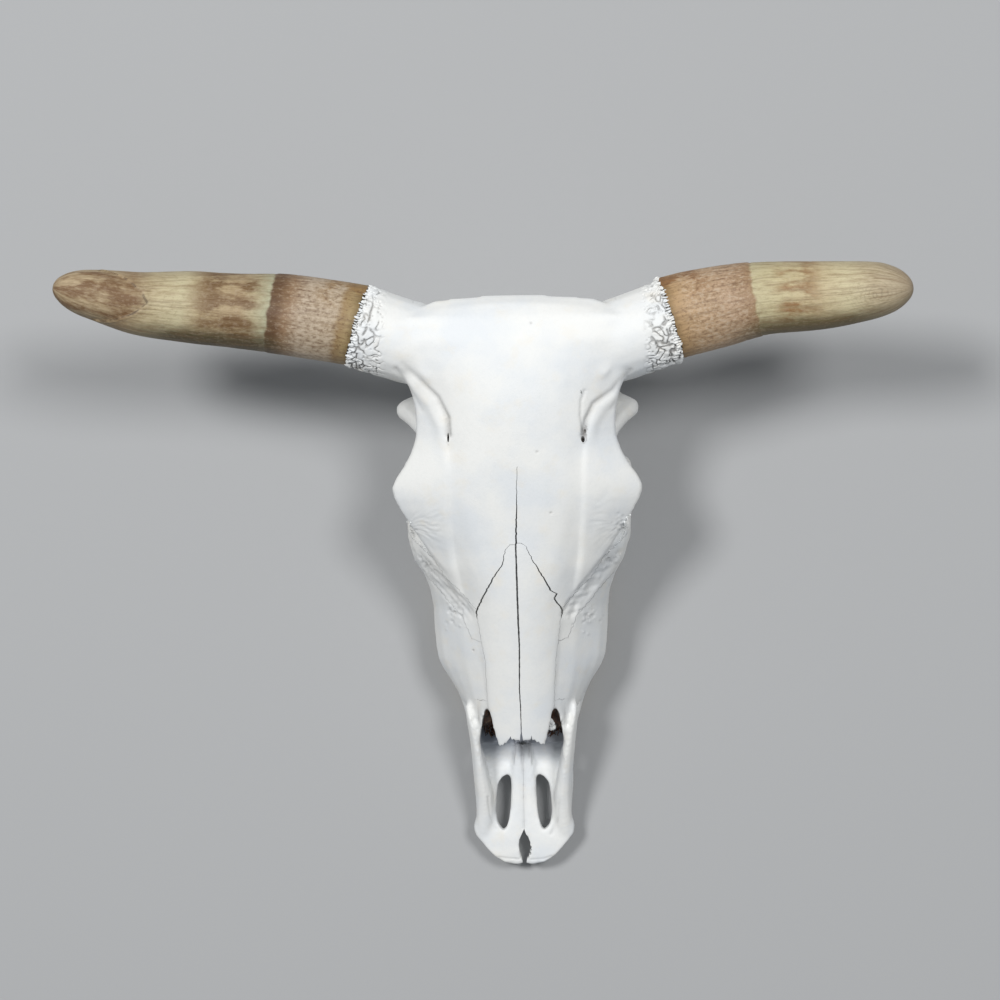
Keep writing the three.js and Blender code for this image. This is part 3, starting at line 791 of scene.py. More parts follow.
def nasalMould(sizes, label, wide, seed):
    # wide is 0 for the bone itself, and 1 for the bed that it lies in
    side = 1 if label == "left" else -1
    dice = np.random.default_rng(seed)
    outline = np.array(sizes[label])
    ys = np.arange(outline[0, 0] - 4, outline[-1, 0], 1.6)
    rings = []
    for y in [*ys, outline[-1, 0] + 0.3 * wide]:
        wobble = dice.uniform(-0.45, 0.45)
        middleGap = np.interp(y, *np.array(sizes["middleGap"]).T)
        middle = side * np.interp(y, *np.array(sizes["middle"]).T) + 0.3 * wobble
        inner = middle + (0.5 - 0.6 * wide) * middleGap
        sideGap = np.interp(y, *np.array(sizes["sideGap"]).T)
        outer = np.interp(y, *outline.T) + wobble + wide * sideGap
        across = np.linspace(inner, max(outer, inner + 1), 7)
        top = [(side * x, y, overFace) for x in across]
        floor = nasalTop(across, y) - sizes["thickness"] - 0.4 * wide
        rings.append(top + [(side * x, y, z) for x, z in zip(across[::-1], floor[::-1])])
    return newPiece("mould", turnedOut(meshFrom("mould", *skin(rings))))


notch = {  # the broken notch between the two bones at the tip of the muzzle
    "outline": [
        (0.0, -292), (1.6, -297), (3.4, -299), (4.4, -302), (5.4, -304.4), (5.2, -307),
        (6.7, -308.2), (6.0, -310), (7.0, -311.2), (4.9, -312.2), (6.2, -314.2), (5.9, -315.4),
        (3.8, -316), (4.5, -317.8), (2.2, -319), (1.2, -326), (-1.6, -326), (-2.6, -318.6),
        (-4.2, -314), (-5.2, -308), (-4.6, -302), (-2.8, -298), (-1.0, -294),
    ],
    "reach": (-5, 70),
}


borers = [drill(face), crackBlade(face, 9), prism(notch["outline"], *notch["reach"], "xy")]
for borer in borers:
    combine(bones, borer, "DIFFERENCE")
discard(*borers)
pieces = {}
ragged = prism([*nasals["tips"], (27, -240), (-27, -240)], 68, 140, "xy")
for label, seed in (("left", 11), ("right", 12)):
    mould = nasalMould(nasals, label, 0, seed)
    nasal = combine(copied(bones, f"nasal_{label}"), mould, "INTERSECT")
    pieces[f"nasal_{label}"] = keepIsland(combine(nasal, ragged, "DIFFERENCE"))
    wide = nasalMould(nasals, label, 1, seed)
    combine(bones, wide, "DIFFERENCE")
    discard(mould, wide)
discard(ragged)
for name, seed in (("premaxilla", 21), ("zygomatic", 22), ("lacrimal", 23), ("maxilla", 24)):
    slit = seams["gap"] if name in ("premaxilla", "maxilla") else 0.0
    pieces[f"{name}_left"], pieces[f"{name}_right"] = halves(taken(bones, name, seed), name, slit)
pieces["occipital"] = keepIsland(taken(bones, "occipital", 25))
pieces["frontal_left"], pieces["frontal_right"] = halves(taken(bones, "frontal", 26), "frontal")
pieces["temporal_left"], pieces["temporal_right"] = halves(taken(bones, "temporal", 27), "temporal")
pieces["sphenoid"] = keepIsland(bones)
print("bones cut apart:", {name: len(piece.data.vertices) for name, piece in pieces.items()})

# The burr: porous bone in a ring beside each horn sheath

burr = {
    "edgePoint": np.array([129, 146.3, 168.5]),
    "edgeNormal": np.array([0.955, 0.297, 0]),
    "axisPoint": np.array([106, 138, 165.5]),
    "axis": np.array([0.945, 0.313, 0.09]),
    "reach": 38,  # how far the porous bone comes in from the sheath
    "core": 30.5,  # all of it lies outside this radius, and its middle radius is the next
    "radius": 34.5,
    "fringe": 96,  # fine ridges round the edge
    "swell": 1.1,
    "wormSize": 5.4,  # spacing of the worm-like slits, and their depth
    "wormDepth": 1.8,
    "undercut": 9.5,  # a broken slit this far in from the sheath
    "pores": 330,
    "mostTriangles": 188000,  # in the frontal bone that carries it
}


def refined(piece, wanted):
    # the faces that pass the test are split in four
    work = bmesh.new()
    work.from_mesh(piece.data)
    middles = np.array([face.calc_center_median()[:] for face in work.faces])
    chosen = wanted(toSkull(middles))
    work.faces.ensure_lookup_table()
    work.edges.ensure_lookup_table()
    numbers = {edge.index for i in np.flatnonzero(chosen) for edge in work.faces[i].edges}
    edges = [work.edges[i] for i in sorted(numbers)]
    bmesh.ops.subdivide_edges(work, edges=edges, cuts=1, use_grid_fill=True)
    work.to_mesh(piece.data)
    work.free()


def burrPlace(points, side, sizes):
    # distance in from the sheath's edge, angle round the horn, and distance from its axis
    folded = points * [side, 1, 1]
    inward = -(folded - sizes["edgePoint"]) @ sizes["edgeNormal"]
    away = folded - sizes["axisPoint"]
    axis = sizes["axis"] / np.linalg.norm(sizes["axis"])
    away = away - (away @ axis)[:, None] * axis
    angle = np.arctan2(away[:, 2], away[:, 1])
    return inward, angle, np.linalg.norm(away, axis=1)


def makeBurr(piece, side, sizes, seed):
    def wanted(places):
        inward, angle, radius = burrPlace(places, side, sizes)
        inside = (inward > 0.2) & (inward < sizes["reach"])
        return inside & (radius > sizes["core"]) & (places[:, 0] * side > 86)

    refined(piece, wanted)
    dice = np.random.default_rng(seed)
    points, normals = readPoints(piece.data), readNormals(piece.data)
    inward, angle, radius = burrPlace(points, side, sizes)
    within = (inward > 0) & (inward < sizes["reach"] + 2) & (radius > sizes["core"])
    chosen = np.flatnonzero(within & (points[:, 0] * side > 84))
    here, inside, turn = points[chosen], inward[chosen], angle[chosen] * sizes["radius"]
    halfRound = math.pi * sizes["radius"]
    low = 0.5 - 0.5 * np.sin(angle[chosen] + 1.5)  # 1 towards the brow, 0 towards the poll
    depth = sizes["reach"] * (0.5 + 0.5 * low)
    presence = between(inside, 0, 0.8) * (1 - between(inside, depth * 0.55, depth))
    move = presence * sizes["swell"] * (0.2 + 0.8 * cloudy(here, 6, seed))
    fringe = np.sin(angle[chosen] * sizes["fringe"] + cloudy(here, 6, seed + 1) * 1.8)
    move += (1 - between(inside, 3, 8)) * 0.4 * fringe * presence
    worm = hump(cloudy(here, sizes["wormSize"], seed + 2), 0.13)
    worm *= between(cloudy(here, 8, seed + 3) + 0.75 * low, 0.05, 0.4) * presence
    edge = sizes["undercut"] + 3 * cloudy(here, 10, seed + 4)
    under = hump(inside - edge, 0.75) * between(cloudy(here, 7, seed + 5), -0.1, 0.15) * presence
    slit = np.maximum(worm, under)
    move -= slit * sizes["wormDepth"]
    # the slits and pores are painted darker: dust and painted shade
    dustAndShade = slit * (0.4 + 0.45 * low)
    for _ in range(sizes["pores"]):
        inner = dice.uniform(1, 0.8 * sizes["reach"])
        about = dice.uniform(-math.pi, math.pi) * sizes["radius"]
        radius = dice.uniform(0.5, 1.0)
        along = (turn - about + halfRound) % (2 * halfRound) - halfRound
        pore = np.exp(-(((inside - inner) ** 2 + along**2) / radius**2))
        pore *= between(presence, 0.1, 0.5)
        move -= pore * radius * 1.3
        dustAndShade = np.maximum(dustAndShade, pore * dice.uniform(0.3, 0.9) * (0.3 + 0.7 * low))
    points[chosen] += normals[chosen] * np.clip(move, -2.6, 1.4)[:, None]
    writePoints(piece.data, points)
    flat = np.zeros(len(points), np.float32)
    piece.data.attributes["dustAndShade"].data.foreach_get("value", flat)
    flat[chosen] = np.maximum(flat[chosen], dustAndShade)
    setMark(piece.data, "dustAndShade", flat)


def thinned(piece, most):
    # flat places lose their faces first
    count = sum(len(face.vertices) - 2 for face in piece.data.polygons)
    fewer = piece.modifiers.new("fewer", "DECIMATE")
    fewer.ratio = most / count
    applied(piece)


for label, side, seed in (("left", 1, 61), ("right", -1, 67)):
    makeBurr(pieces[f"frontal_{label}"], side, burr, seed)
    thinned(pieces[f"frontal_{label}"], burr["mostTriangles"])
print("burrs made:", len(pieces["frontal_left"].data.vertices), "points a side")

# Horn sheaths

horns = {
    "edgePoint": burr["edgePoint"],  # the plane where a sheath ends beside the bone
    "edgeNormal": burr["edgeNormal"],
    "domeReach": 0.85,  # of the last radius, past the end of the path
    "rounding": 28,  # length over which the end is rounded off
    "roundingPower": 2.7,
    "socketRadius": 28.2,
    "socketDepth": 22,
    "rings": 240,
    "around": 160,
    "left": {
        "side": 1,
        "path": [
            (121, 146, 167.8), (143, 151.4, 169.5), (170, 156.7, 173), (204.7, 162.1, 180),
            (249, 162.6, 191), (287, 164.8, 204), (304, 165.2, 211),
        ],
        "radii": [34.2, 34.4, 33.2, 30.2, 28, 24, 20],
        "seed": 71,
        "wrinkles": (172, 0.25, 17),  # distance from the root, angle and reach of the fine arcs
    },
    "right": {
        "side": -1,
        "path": [
            (121, 143.6, 167.8), (142, 147.9, 170), (188, 154.9, 174.5), (231, 158.2, 181.5),
            (266.5, 160.8, 190), (304, 163.4, 201), (335, 169.2, 214), (355.5, 173, 223),
        ],
        "radii": [33.6, 33.8, 33.2, 30.8, 29.6, 26.2, 21.6, 17.2],
        "seed": 74,
        "fold": [  # angle round the horn, and distance from the root
            (-1.4, 219), (-0.8, 196), (-0.35, 181), (0.03, 173), (0.5, 186), (1.0, 200),
            (1.35, 211),
        ],
    },
    "ring": 72,  # distance of the sharp growth ring from the root
    "softRings": [  # distance of each faint ring from the root, and its depth
        (12, 0.16), (31, 0.1), (56, 0.2), (90, 0.12), (118, 0.14), (150, 0.1),
    ],
    "socketAxis": (0.955, 0.22, 0.07),
}


def hornRelief(sizes, label, along, angle):
    # how far the sheath's surface stands out, its creases darkened as painted shade, its cap and
    # its grain place
    horn = sizes[label]
    seed = horn["seed"]
    turned = (angle + math.pi) % (2 * math.pi) - math.pi
    grain = np.stack([along, 30 * np.cos(angle), 30 * np.sin(angle)], -1)
    flat = grain.reshape(-1, 3)

    def noised(size, stretch, shift):
        return cloudy(flat / [stretch, 1, 1], size, seed + shift).reshape(along.shape)

    relief = 0.5 * np.exp(-along / 2.2) + 0.55 * noised(26, 1.6, 1)
    relief += 0.16 * noised(4.2, 7, 2) + 0.09 * noised(2.2, 5, 3)
    creaseShade = np.zeros(along.shape)
    ringPlace = sizes["ring"] + 0.8 * noised(20, 4, 4)
    relief -= 0.5 * hump(along - ringPlace, 0.9)
    relief -= 0.4 * between(along, ringPlace - 0.6, ringPlace + 0.6)
    for place, depth in sizes["softRings"]:
        relief -= depth * hump(along - place - 1.5 * noised(22, 3, place), 1.1)
    cap = np.zeros(along.shape)
    if "fold" in horn:
        turns, places = np.array(horn["fold"]).T
        past = along - np.interp(turned, turns, places) - 1.2 * noised(7, 1, 5)
        within = between(turned, turns[0] - 0.25, turns[0])
        within *= 1 - between(turned, turns[-1], turns[-1] + 0.25)
        drop = between(past, -0.4, 0.8) * np.exp(-np.maximum(past, 0) / 14)
        relief += within * (0.5 * hump(past + 2.5, 2.5) - 0.9 * drop)
        # painted shade: a dark line along the fold
        creaseShade = within * hump(past, 0.9) * between(noised(5, 1, 7), -0.35, 0.15)
        cap = within * between(past, -0.5, 2)
    if "wrinkles" in horn:
        place, turn, reach = horn["wrinkles"]
        away = np.hypot(along - place, 24 * (turned - turn))
        patch = hump(away, reach)
        arcs = np.sin(away * 1.9 + 5 * noised(8, 1, 6))
        relief += patch * 0.11 * arcs
        # painted shade in the troughs of the fine arcs
        creaseShade = np.maximum(creaseShade, patch * between(-arcs, 0.55, 1) * 0.3)
    return relief, creaseShade, cap, grain


def makeSheath(sizes, label):
    horn = sizes[label]
    path = np.array(horn["path"])
    radii = np.array(horn["radii"])
    stops = np.linspace(0, 1, len(path))
    fine = np.linspace(0, 1, 400)
    line = np.stack([through(np.column_stack([stops, path[:, k]]), fine) for k in range(3)], 1)
    radius = through(np.column_stack([stops, radii]), fine)
    step = np.linalg.norm(np.diff(line, axis=0), axis=1)
    slope = (radius[-1] - radius[-10]) / step[-9:].sum()
    onward = (line[-1] - line[-2]) / step[-1]
    # the rounded end, past the path
    beyond = np.linspace(0, radii[-1] * sizes["domeReach"], 40)[1:]
    line = np.concatenate([line, line[-1] + beyond[:, None] * onward])
    radius = np.concatenate([radius, radius[-1] + slope * beyond])
    run = np.concatenate([[0], np.cumsum(np.linalg.norm(np.diff(line, axis=0), axis=1))])
    ending = np.clip((run - run[-1] + sizes["rounding"]) / sizes["rounding"], 0, 1)
    radius *= np.sqrt(np.maximum(1 - ending ** sizes["roundingPower"], 0))
    along = np.gradient(line, axis=0)
    along /= np.linalg.norm(along, axis=1)[:, None]
    v = np.array([0, 0, 1.0]) - along * along[:, 2:3]
    v /= np.linalg.norm(v, axis=1)[:, None]
    u = np.cross(along, v)
    angles = np.linspace(0, 2 * math.pi, sizes["around"], endpoint=False)
    # closer rings on the rounded end
    share = np.linspace(0, 1, sizes["rings"])
    share = np.interp(share, [0, 0.8, 0.93, 1], [0, 0.86, 0.975, 1])
    tube = np.zeros((len(share), len(angles), 3))
    ways = np.zeros(tube.shape)
    places = np.zeros(tube.shape[:2])
    for j, angle in enumerate(angles):
        way = v * math.cos(angle) + u * math.sin(angle)
        skinLine = line + way * radius[:, None]
        away = (skinLine - sizes["edgePoint"]) @ sizes["edgeNormal"]
        near = run < run[-1] * 0.3
        start = np.interp(0, away[near], run[near])
        start += 0.35 * math.sin(angle * 23) + 0.45 * math.sin(angle * 9 + 1)
        at = start + (run[-1] - start) * share
        places[:, j] = at - start
        tube[:, j] = np.stack([np.interp(at, run, skinLine[:, k]) for k in range(3)], 1)
        ways[:, j] = np.stack([np.interp(at, run, way[:, k]) for k in range(3)], 1)
    turns = np.broadcast_to(angles, places.shape)
    relief, creaseShade, cap, grain = hornRelief(sizes, label, places, turns)
    tube += ways * (relief * between(share, 1, 0.97)[:, None])[..., None]
    root = tube[0]
    middle = root.mean(0)
    spokes = root - middle
    spokes *= (sizes["socketRadius"] / np.linalg.norm(spokes, axis=1))[:, None]
    depths = np.linspace(sizes["socketDepth"], 0, 6)
    socket = [middle + spokes + np.array(sizes["socketAxis"]) * depth for depth in depths]
    points, faces = skin([list(ring) for ring in [*socket, *tube[:-1]]])
    points = np.array(points)
    start, stop = len(socket) * len(angles), (len(socket) + len(share) - 1) * len(angles)
    marks = {}
    for name, values in (("along", places), ("creaseShade", creaseShade), ("cap", cap)):
        marks[name] = np.zeros(len(points))
        marks[name][start:stop] = values[:-1].ravel()
        marks[name][-1] = values[-1].mean()
    marks["grainPlace"] = np.zeros((len(points), 3))
    marks["grainPlace"][start:stop] = grain[:-1].reshape(-1, 3)
    marks["grainPlace"][-1] = grain[-1].mean(0)
    points[-1] = tube[-1].mean(0)
    return points, faces, marks, root


def hornMesh(sizes, label):
    points, faces, marks, root = makeSheath(sizes, label)
    name = f"horn_sheath_{label}"
    points[:, 0] *= sizes[label]["side"]
    mesh = meshFrom(name, points, faces)
    for mark, values in marks.items():
        setMark(mesh, mark, values)
    work = bmesh.new()
    work.from_mesh(mesh)
    bmesh.ops.recalc_face_normals(work, faces=work.faces)
    work.to_mesh(mesh)
    work.free()
    return newPiece(name, mesh), root * [sizes[label]["side"], 1, 1]


roots = {}
for label in ("left", "right"):
    pieces[f"horn_sheath_{label}"], roots[label] = hornMesh(horns, label)
print("horn sheaths made")

# Painted shade and stains: painted shade dark in the cracks and nerve holes, blue-grey painted
# shade on the floor of the nose, brown stain inside the nose, and ivory on the teeth

shadeDepths = {
    "crackDepth": (0.6, 2.0),  # a crack is painted dark below these depths: painted shade
    # a nerve hole is painted dark below these depths: painted shade
    "holeDepth": (1.5, 4),
}


def shadedAndStained(points, normals, sizes):
    x, y, z = points.T
    side = np.abs(x)
    crown = nasalTop(x, y)
    onFace = (y > -200) & (y < 30) & (side < 38) & (z > crown - 5.6)
    steep = 1 - between(normals[:, 2], 0.3, 0.7)
    # painted shade: the steep walls of the cracks darken below a depth
    dark = between(crown - z, *sizes["crackDepth"]) * onFace * steep
    # painted shade: the nerve holes darken below a depth
    for px, py, half, long, _ in face["drilled"]:
        below = through(face["browTop"], y) - z
        near = np.hypot((x - px) / half, (y + 0.35 * below - py) / long) < 1.7
        dark = np.maximum(dark, near * between(below, *sizes["holeDepth"]) * (z > 150))
    hollow = (side < 37) & (z < np.where(side > 30, 62, 84)) & (z > 20) & (y > -236) & (y < -150)
    # painted shade: blue-grey on the floor of the nose behind the nasal tips, and on the keel
    blue = hollow * between(y, -236, -206) * (z < 70) * (0.8 + 0.2 * waves(points, 14, 81))
    keel = (side < 12) * (y < -150) * (z < 66) * (z > 26)
    blue = np.maximum(blue, 0.55 * keel * between(y, -228, -212))
    brown = hollow * between(y, -206, -188) * (0.8 + 0.2 * waves(points, 9, 82))
    roof = (normals[:, 2] < -0.2) * (z > 72) * (y > -204) * (y < -150) * (side < 34)
    brown = np.maximum(brown, 0.8 * roof)
    ivory = onTeeth(points, 21) * (1 - between(z, 13, 20))
    return dark, np.stack([blue.clip(0, 1), brown.clip(0, 1), ivory], 1)


for name, piece in pieces.items():
    if name.startswith("horn"):
        continue
    places = readPoints(piece.data)
    dark, tints = shadedAndStained(places, readNormals(piece.data), shadeDepths)
    flat = np.zeros(len(places), np.float32)
    piece.data.attributes["dustAndShade"].data.foreach_get("value", flat)
    # the painted shade of the cracks and holes joins the dust and painted shade of the pits
    setMark(piece.data, "dustAndShade", np.maximum(flat, dark))
    # tints: blue-grey painted shade, brown stain and ivory
    setMark(piece.data, "tints", tints)
print("bones stained")


# Finishes

def paint(red, green, blue):
    # a colour given in screen values, made linear
    shares = [value / 255 for value in (red, green, blue)]
    return (*[c / 12.92 if c < 0.04 else ((c + 0.055) / 1.055) ** 2.4 for c in shares], 1)


def addNode(tree, kind, inputs=None, settings=None):
    made = tree.nodes.new(kind)
    for key, value in (settings or {}).items():
        setattr(made, key, value)
    for key, value in (inputs or {}).items():
        if isinstance(value, bpy.types.NodeSocket):
            tree.links.new(value, made.inputs[key])
        else:
            made.inputs[key].default_value = value
    return made


def step(tree, kind, inputs, settings=None):
    # a node of which only the first output is used
    return addNode(tree, kind, inputs, settings).outputs[0]


def blend(tree, factor, first, second, kind="MIX"):
    # the Mix node for colours keeps its colour sockets at places 6 and 7
    settings = {"data_type": "RGBA", "blend_type": kind}
    return addNode(tree, "ShaderNodeMix", {0: factor, 6: first, 7: second}, settings).outputs[2]


def sums(tree, kind, first, second, clamp=False):
    settings = {"operation": kind, "use_clamp": clamp}
    return step(tree, "ShaderNodeMath", {0: first, 1: second}, settings)


def times(tree, first, second, clamp=False):
    return sums(tree, "MULTIPLY", first, second, clamp)


def plus(tree, first, second):
    return sums(tree, "ADD", first, second)


def vectors(tree, kind, first, second):
    return step(tree, "ShaderNodeVectorMath", {0: first, 1: second}, {"operation": kind})


def spread(tree, value, low, high, start=0.0, end=1.0):
    # a value stretched from one range to another, and held inside it
    return step(tree, "ShaderNodeMapRange", {0: value, 1: low, 2: high, 3: start, 4: end})


def resized(tree, vector, factors):
    return vectors(tree, "MULTIPLY", vector, factors)


def noiseAt(tree, vector, scale, detail=3.0, roughness=0.5):
    inputs = {"Vector": vector, "Scale": scale, "Detail": detail, "Roughness": roughness}
    return addNode(tree, "ShaderNodeTexNoise", inputs).outputs["Fac"]


def readMark(tree, name, output="Fac"):
    return addNode(tree, "ShaderNodeAttribute", None, {"attribute_name": name}).outputs[output]


def newGroup(name, inputs, outputs):
    tree = bpy.data.node_groups.new(name, "ShaderNodeTree")
    for label, kind, value in inputs:
        socket = tree.interface.new_socket(name=label, in_out="INPUT", socket_type=kind)
        socket.default_value = value
    for label, kind in outputs:
        tree.interface.new_socket(name=label, in_out="OUTPUT", socket_type=kind)
    return tree, tree.nodes.new("NodeGroupInput").outputs, tree.nodes.new("NodeGroupOutput").inputs


def makeGrain():
    # fine grain: a height for the bump, and a speckle for colour and roughness
    tree, given, result = newGroup(
        "fine_grain",
        [
            ("Place", "NodeSocketVector", (0, 0, 0)),
            ("Size", "NodeSocketFloat", 1.0), ("Pores", "NodeSocketFloat", 0.5),
        ],
        [("Height", "NodeSocketFloat"), ("Speckle", "NodeSocketFloat")],
    )
    scaled = vectors(tree, "DIVIDE", given["Place"], given["Size"])
    soft = noiseAt(tree, scaled, 0.8, 5.0, 0.62)
    cells = addNode(tree, "ShaderNodeTexVoronoi", {"Vector": scaled, "Scale": 0.55})
    pore = times(tree, spread(tree, cells.outputs["Distance"], 0.05, 0.3, 1.0, 0.0), given["Pores"])
    tree.links.new(sums(tree, "SUBTRACT", soft, pore), result["Height"])
    fleck = noiseAt(tree, scaled, 0.35, 4.0, 0.7)
    tree.links.new(spread(tree, fleck, 0.38, 0.62), result["Speckle"])
    return tree


def makeMottle():
    # two colours in soft patches
    tree, given, result = newGroup(
        "soft_patches",
        [
            ("Place", "NodeSocketVector", (0, 0, 0)), ("Size", "NodeSocketFloat", 20.0),
            ("First", "NodeSocketColor", (1, 1, 1, 1)), ("Second", "NodeSocketColor", (0, 0, 0, 1)),
            ("Low", "NodeSocketFloat", 0.4), ("High", "NodeSocketFloat", 0.6),
        ],
        [("Colour", "NodeSocketColor"), ("Patch", "NodeSocketFloat")],
    )
    scaled = vectors(tree, "DIVIDE", given["Place"], given["Size"])
    patch = spread(tree, noiseAt(tree, scaled, 1.0, 4.0, 0.55), given["Low"], given["High"])
    tree.links.new(blend(tree, patch, given["First"], given["Second"]), result["Colour"])
    tree.links.new(patch, result["Patch"])
    return tree


grainGroup, mottleGroup = makeGrain(), makeMottle()


def placed(tree, group, inputs):
    return addNode(tree, "ShaderNodeGroup", inputs, {"node_tree": group}).outputs


def newFinish(name):
    finish = bpy.data.materials.new(name)
    finish.use_nodes = True
    tree = finish.node_tree
    return finish, tree, tree.nodes["Principled BSDF"]


def placeOn(tree):
    # the place on the object in millimetres
    place = addNode(tree, "ShaderNodeTexCoord").outputs["Object"]
    return resized(tree, place, (1000, 1000, 1000))


def raised(tree, shader, height, strength, distance):
    inputs = {"Strength": strength, "Distance": distance, "Height": height}
    tree.links.new(step(tree, "ShaderNodeBump", inputs), shader.inputs["Normal"])


boneLook = {
    "white": paint(241, 241, 238),
    "cool": paint(231, 234, 236),
    "warm": paint(240, 233, 219),
    # the colour of dust and painted shade in grooves, pits and cracks
    "dustAndShade": paint(66, 56, 48),
    # blue: painted shade on the floor of the nose
    "blue": paint(128, 136, 152),
    "brown": paint(74, 44, 26), "paleBrown": paint(128, 84, 48),
    "ivory": paint(214, 198, 160),
    "patch": 46, "warmPatch": 17,  # size of the patches in millimetres
    "grain": 1.1,
    "bump": 0.22,
}


def makeBoneFinish(look):
    finish, tree, shader = newFinish("bleached_bone")
    place = placeOn(tree)
    base = placed(tree, mottleGroup, {
        "Place": place, "Size": look["patch"], "First": look["white"], "Second": look["cool"],
        "Low": 0.42, "High": 0.66,
    })["Colour"]
    warm = placed(tree, mottleGroup, {
        "Place": place, "Size": look["warmPatch"], "Low": 0.56, "High": 0.78,
    })["Patch"]
    colour = blend(tree, times(tree, warm, 0.5), base, look["warm"])
    grain = placed(tree, grainGroup, {"Place": place, "Size": look["grain"], "Pores": 0.35})
    fleck = spread(tree, grain["Speckle"], 0.0, 0.5, 0.1, 0.0)
    colour = blend(tree, fleck, colour, look["cool"], "MULTIPLY")
    tints = addNode(tree, "ShaderNodeSeparateXYZ", {0: readMark(tree, "tints", "Vector")}).outputs
    colour = blend(tree, tints["Z"], colour, look["ivory"])
    # painted shade: blue-grey on the floor of the nose
    colour = blend(tree, tints["X"], colour, look["blue"])
    streak = noiseAt(tree, resized(tree, place, (0.9, 0.12, 0.3)), 1.0, 4.0, 0.6)
    brown = blend(tree, spread(tree, streak, 0.35, 0.7), look["brown"], look["paleBrown"])
    colour = blend(tree, tints["Y"], colour, brown)
    # dust and painted shade darken the grooves, pits and cracks
    broken = spread(tree, grain["Speckle"], 0, 1, 1.0, 0.8)
    colour = blend(tree, times(tree, readMark(tree, "dustAndShade"), broken, True), colour, look["dustAndShade"])
    tree.links.new(colour, shader.inputs["Base Color"])
    rough = spread(tree, grain["Speckle"], 0, 1, 0.5, 0.62)
    rough = sums(tree, "SUBTRACT", rough, times(tree, tints["Z"], 0.22))
    tree.links.new(rough, shader.inputs["Roughness"])
    shader.inputs["Specular IOR Level"].default_value = 0.35
    raised(tree, shader, grain["Height"], look["bump"], 0.0006)
    return finish


hornLooks = {
    "left": {  # along the horn: distance from the root in millimetres, and colour
        "bands": [
            (0, paint(146, 120, 82)), (6, paint(184, 152, 112)), (20, paint(190, 160, 126)),
            (52, paint(184, 156, 128)), (68, paint(168, 138, 108)),
            (71.4, paint(162, 134, 102)), (72.6, paint(196, 186, 148)),
            (92, paint(200, 188, 148)), (122, paint(194, 176, 138)), (150, paint(206, 195, 158)),
            (170, paint(194, 180, 148)), (200, paint(172, 156, 132)),
        ],
        "blotch": paint(146, 108, 68), "blotchLevel": (0.46, 0.58),
        "blotchFrom": (86, 98), "blotchTo": (114, 130),
        # the underside colour is painted shade on the lower side of the horn
        "undersideShade": paint(104, 92, 58), "cap": paint(170, 146, 112), "speckled": (0.7, 64),
        "rootPatch": paint(134, 88, 44),
    },
    "right": {
        "bands": [
            (0, paint(124, 106, 70)), (5, paint(166, 144, 104)), (11, paint(156, 130, 92)),
            (16, paint(182, 164, 140)), (42, paint(184, 166, 144)), (56, paint(150, 122, 94)),
            (64, paint(104, 76, 52)), (71.2, paint(98, 74, 52)),
            (72.8, paint(178, 176, 146)), (84, paint(182, 170, 136)), (96, paint(174, 152, 118)),
            (128, paint(182, 162, 126)), (146, paint(200, 190, 154)), (170, paint(194, 180, 144)),
            (190, paint(160, 136, 104)), (214, paint(190, 170, 136)),
        # the paler band from 214 mm on to the tip is a painted highlight
        ],
        "blotch": paint(108, 78, 46), "blotchLevel": (0.44, 0.56),
        "blotchFrom": (74, 86), "blotchTo": (122, 146),
        # the underside colour is painted shade on the lower side of the horn
        "undersideShade": paint(80, 70, 40), "cap": paint(120, 90, 60), "speckled": (0.8, 48),
        "rootPatch": paint(150, 116, 70),
    },
    "reach": 236,
    # painted shade in the fold and the wrinkles
    "creaseShade": paint(52, 34, 20),
    "fleck": paint(208, 192, 170),
    "grime": paint(134, 108, 76),
    "darkFleck": paint(96, 66, 42),
    "bump": 0.55,
}


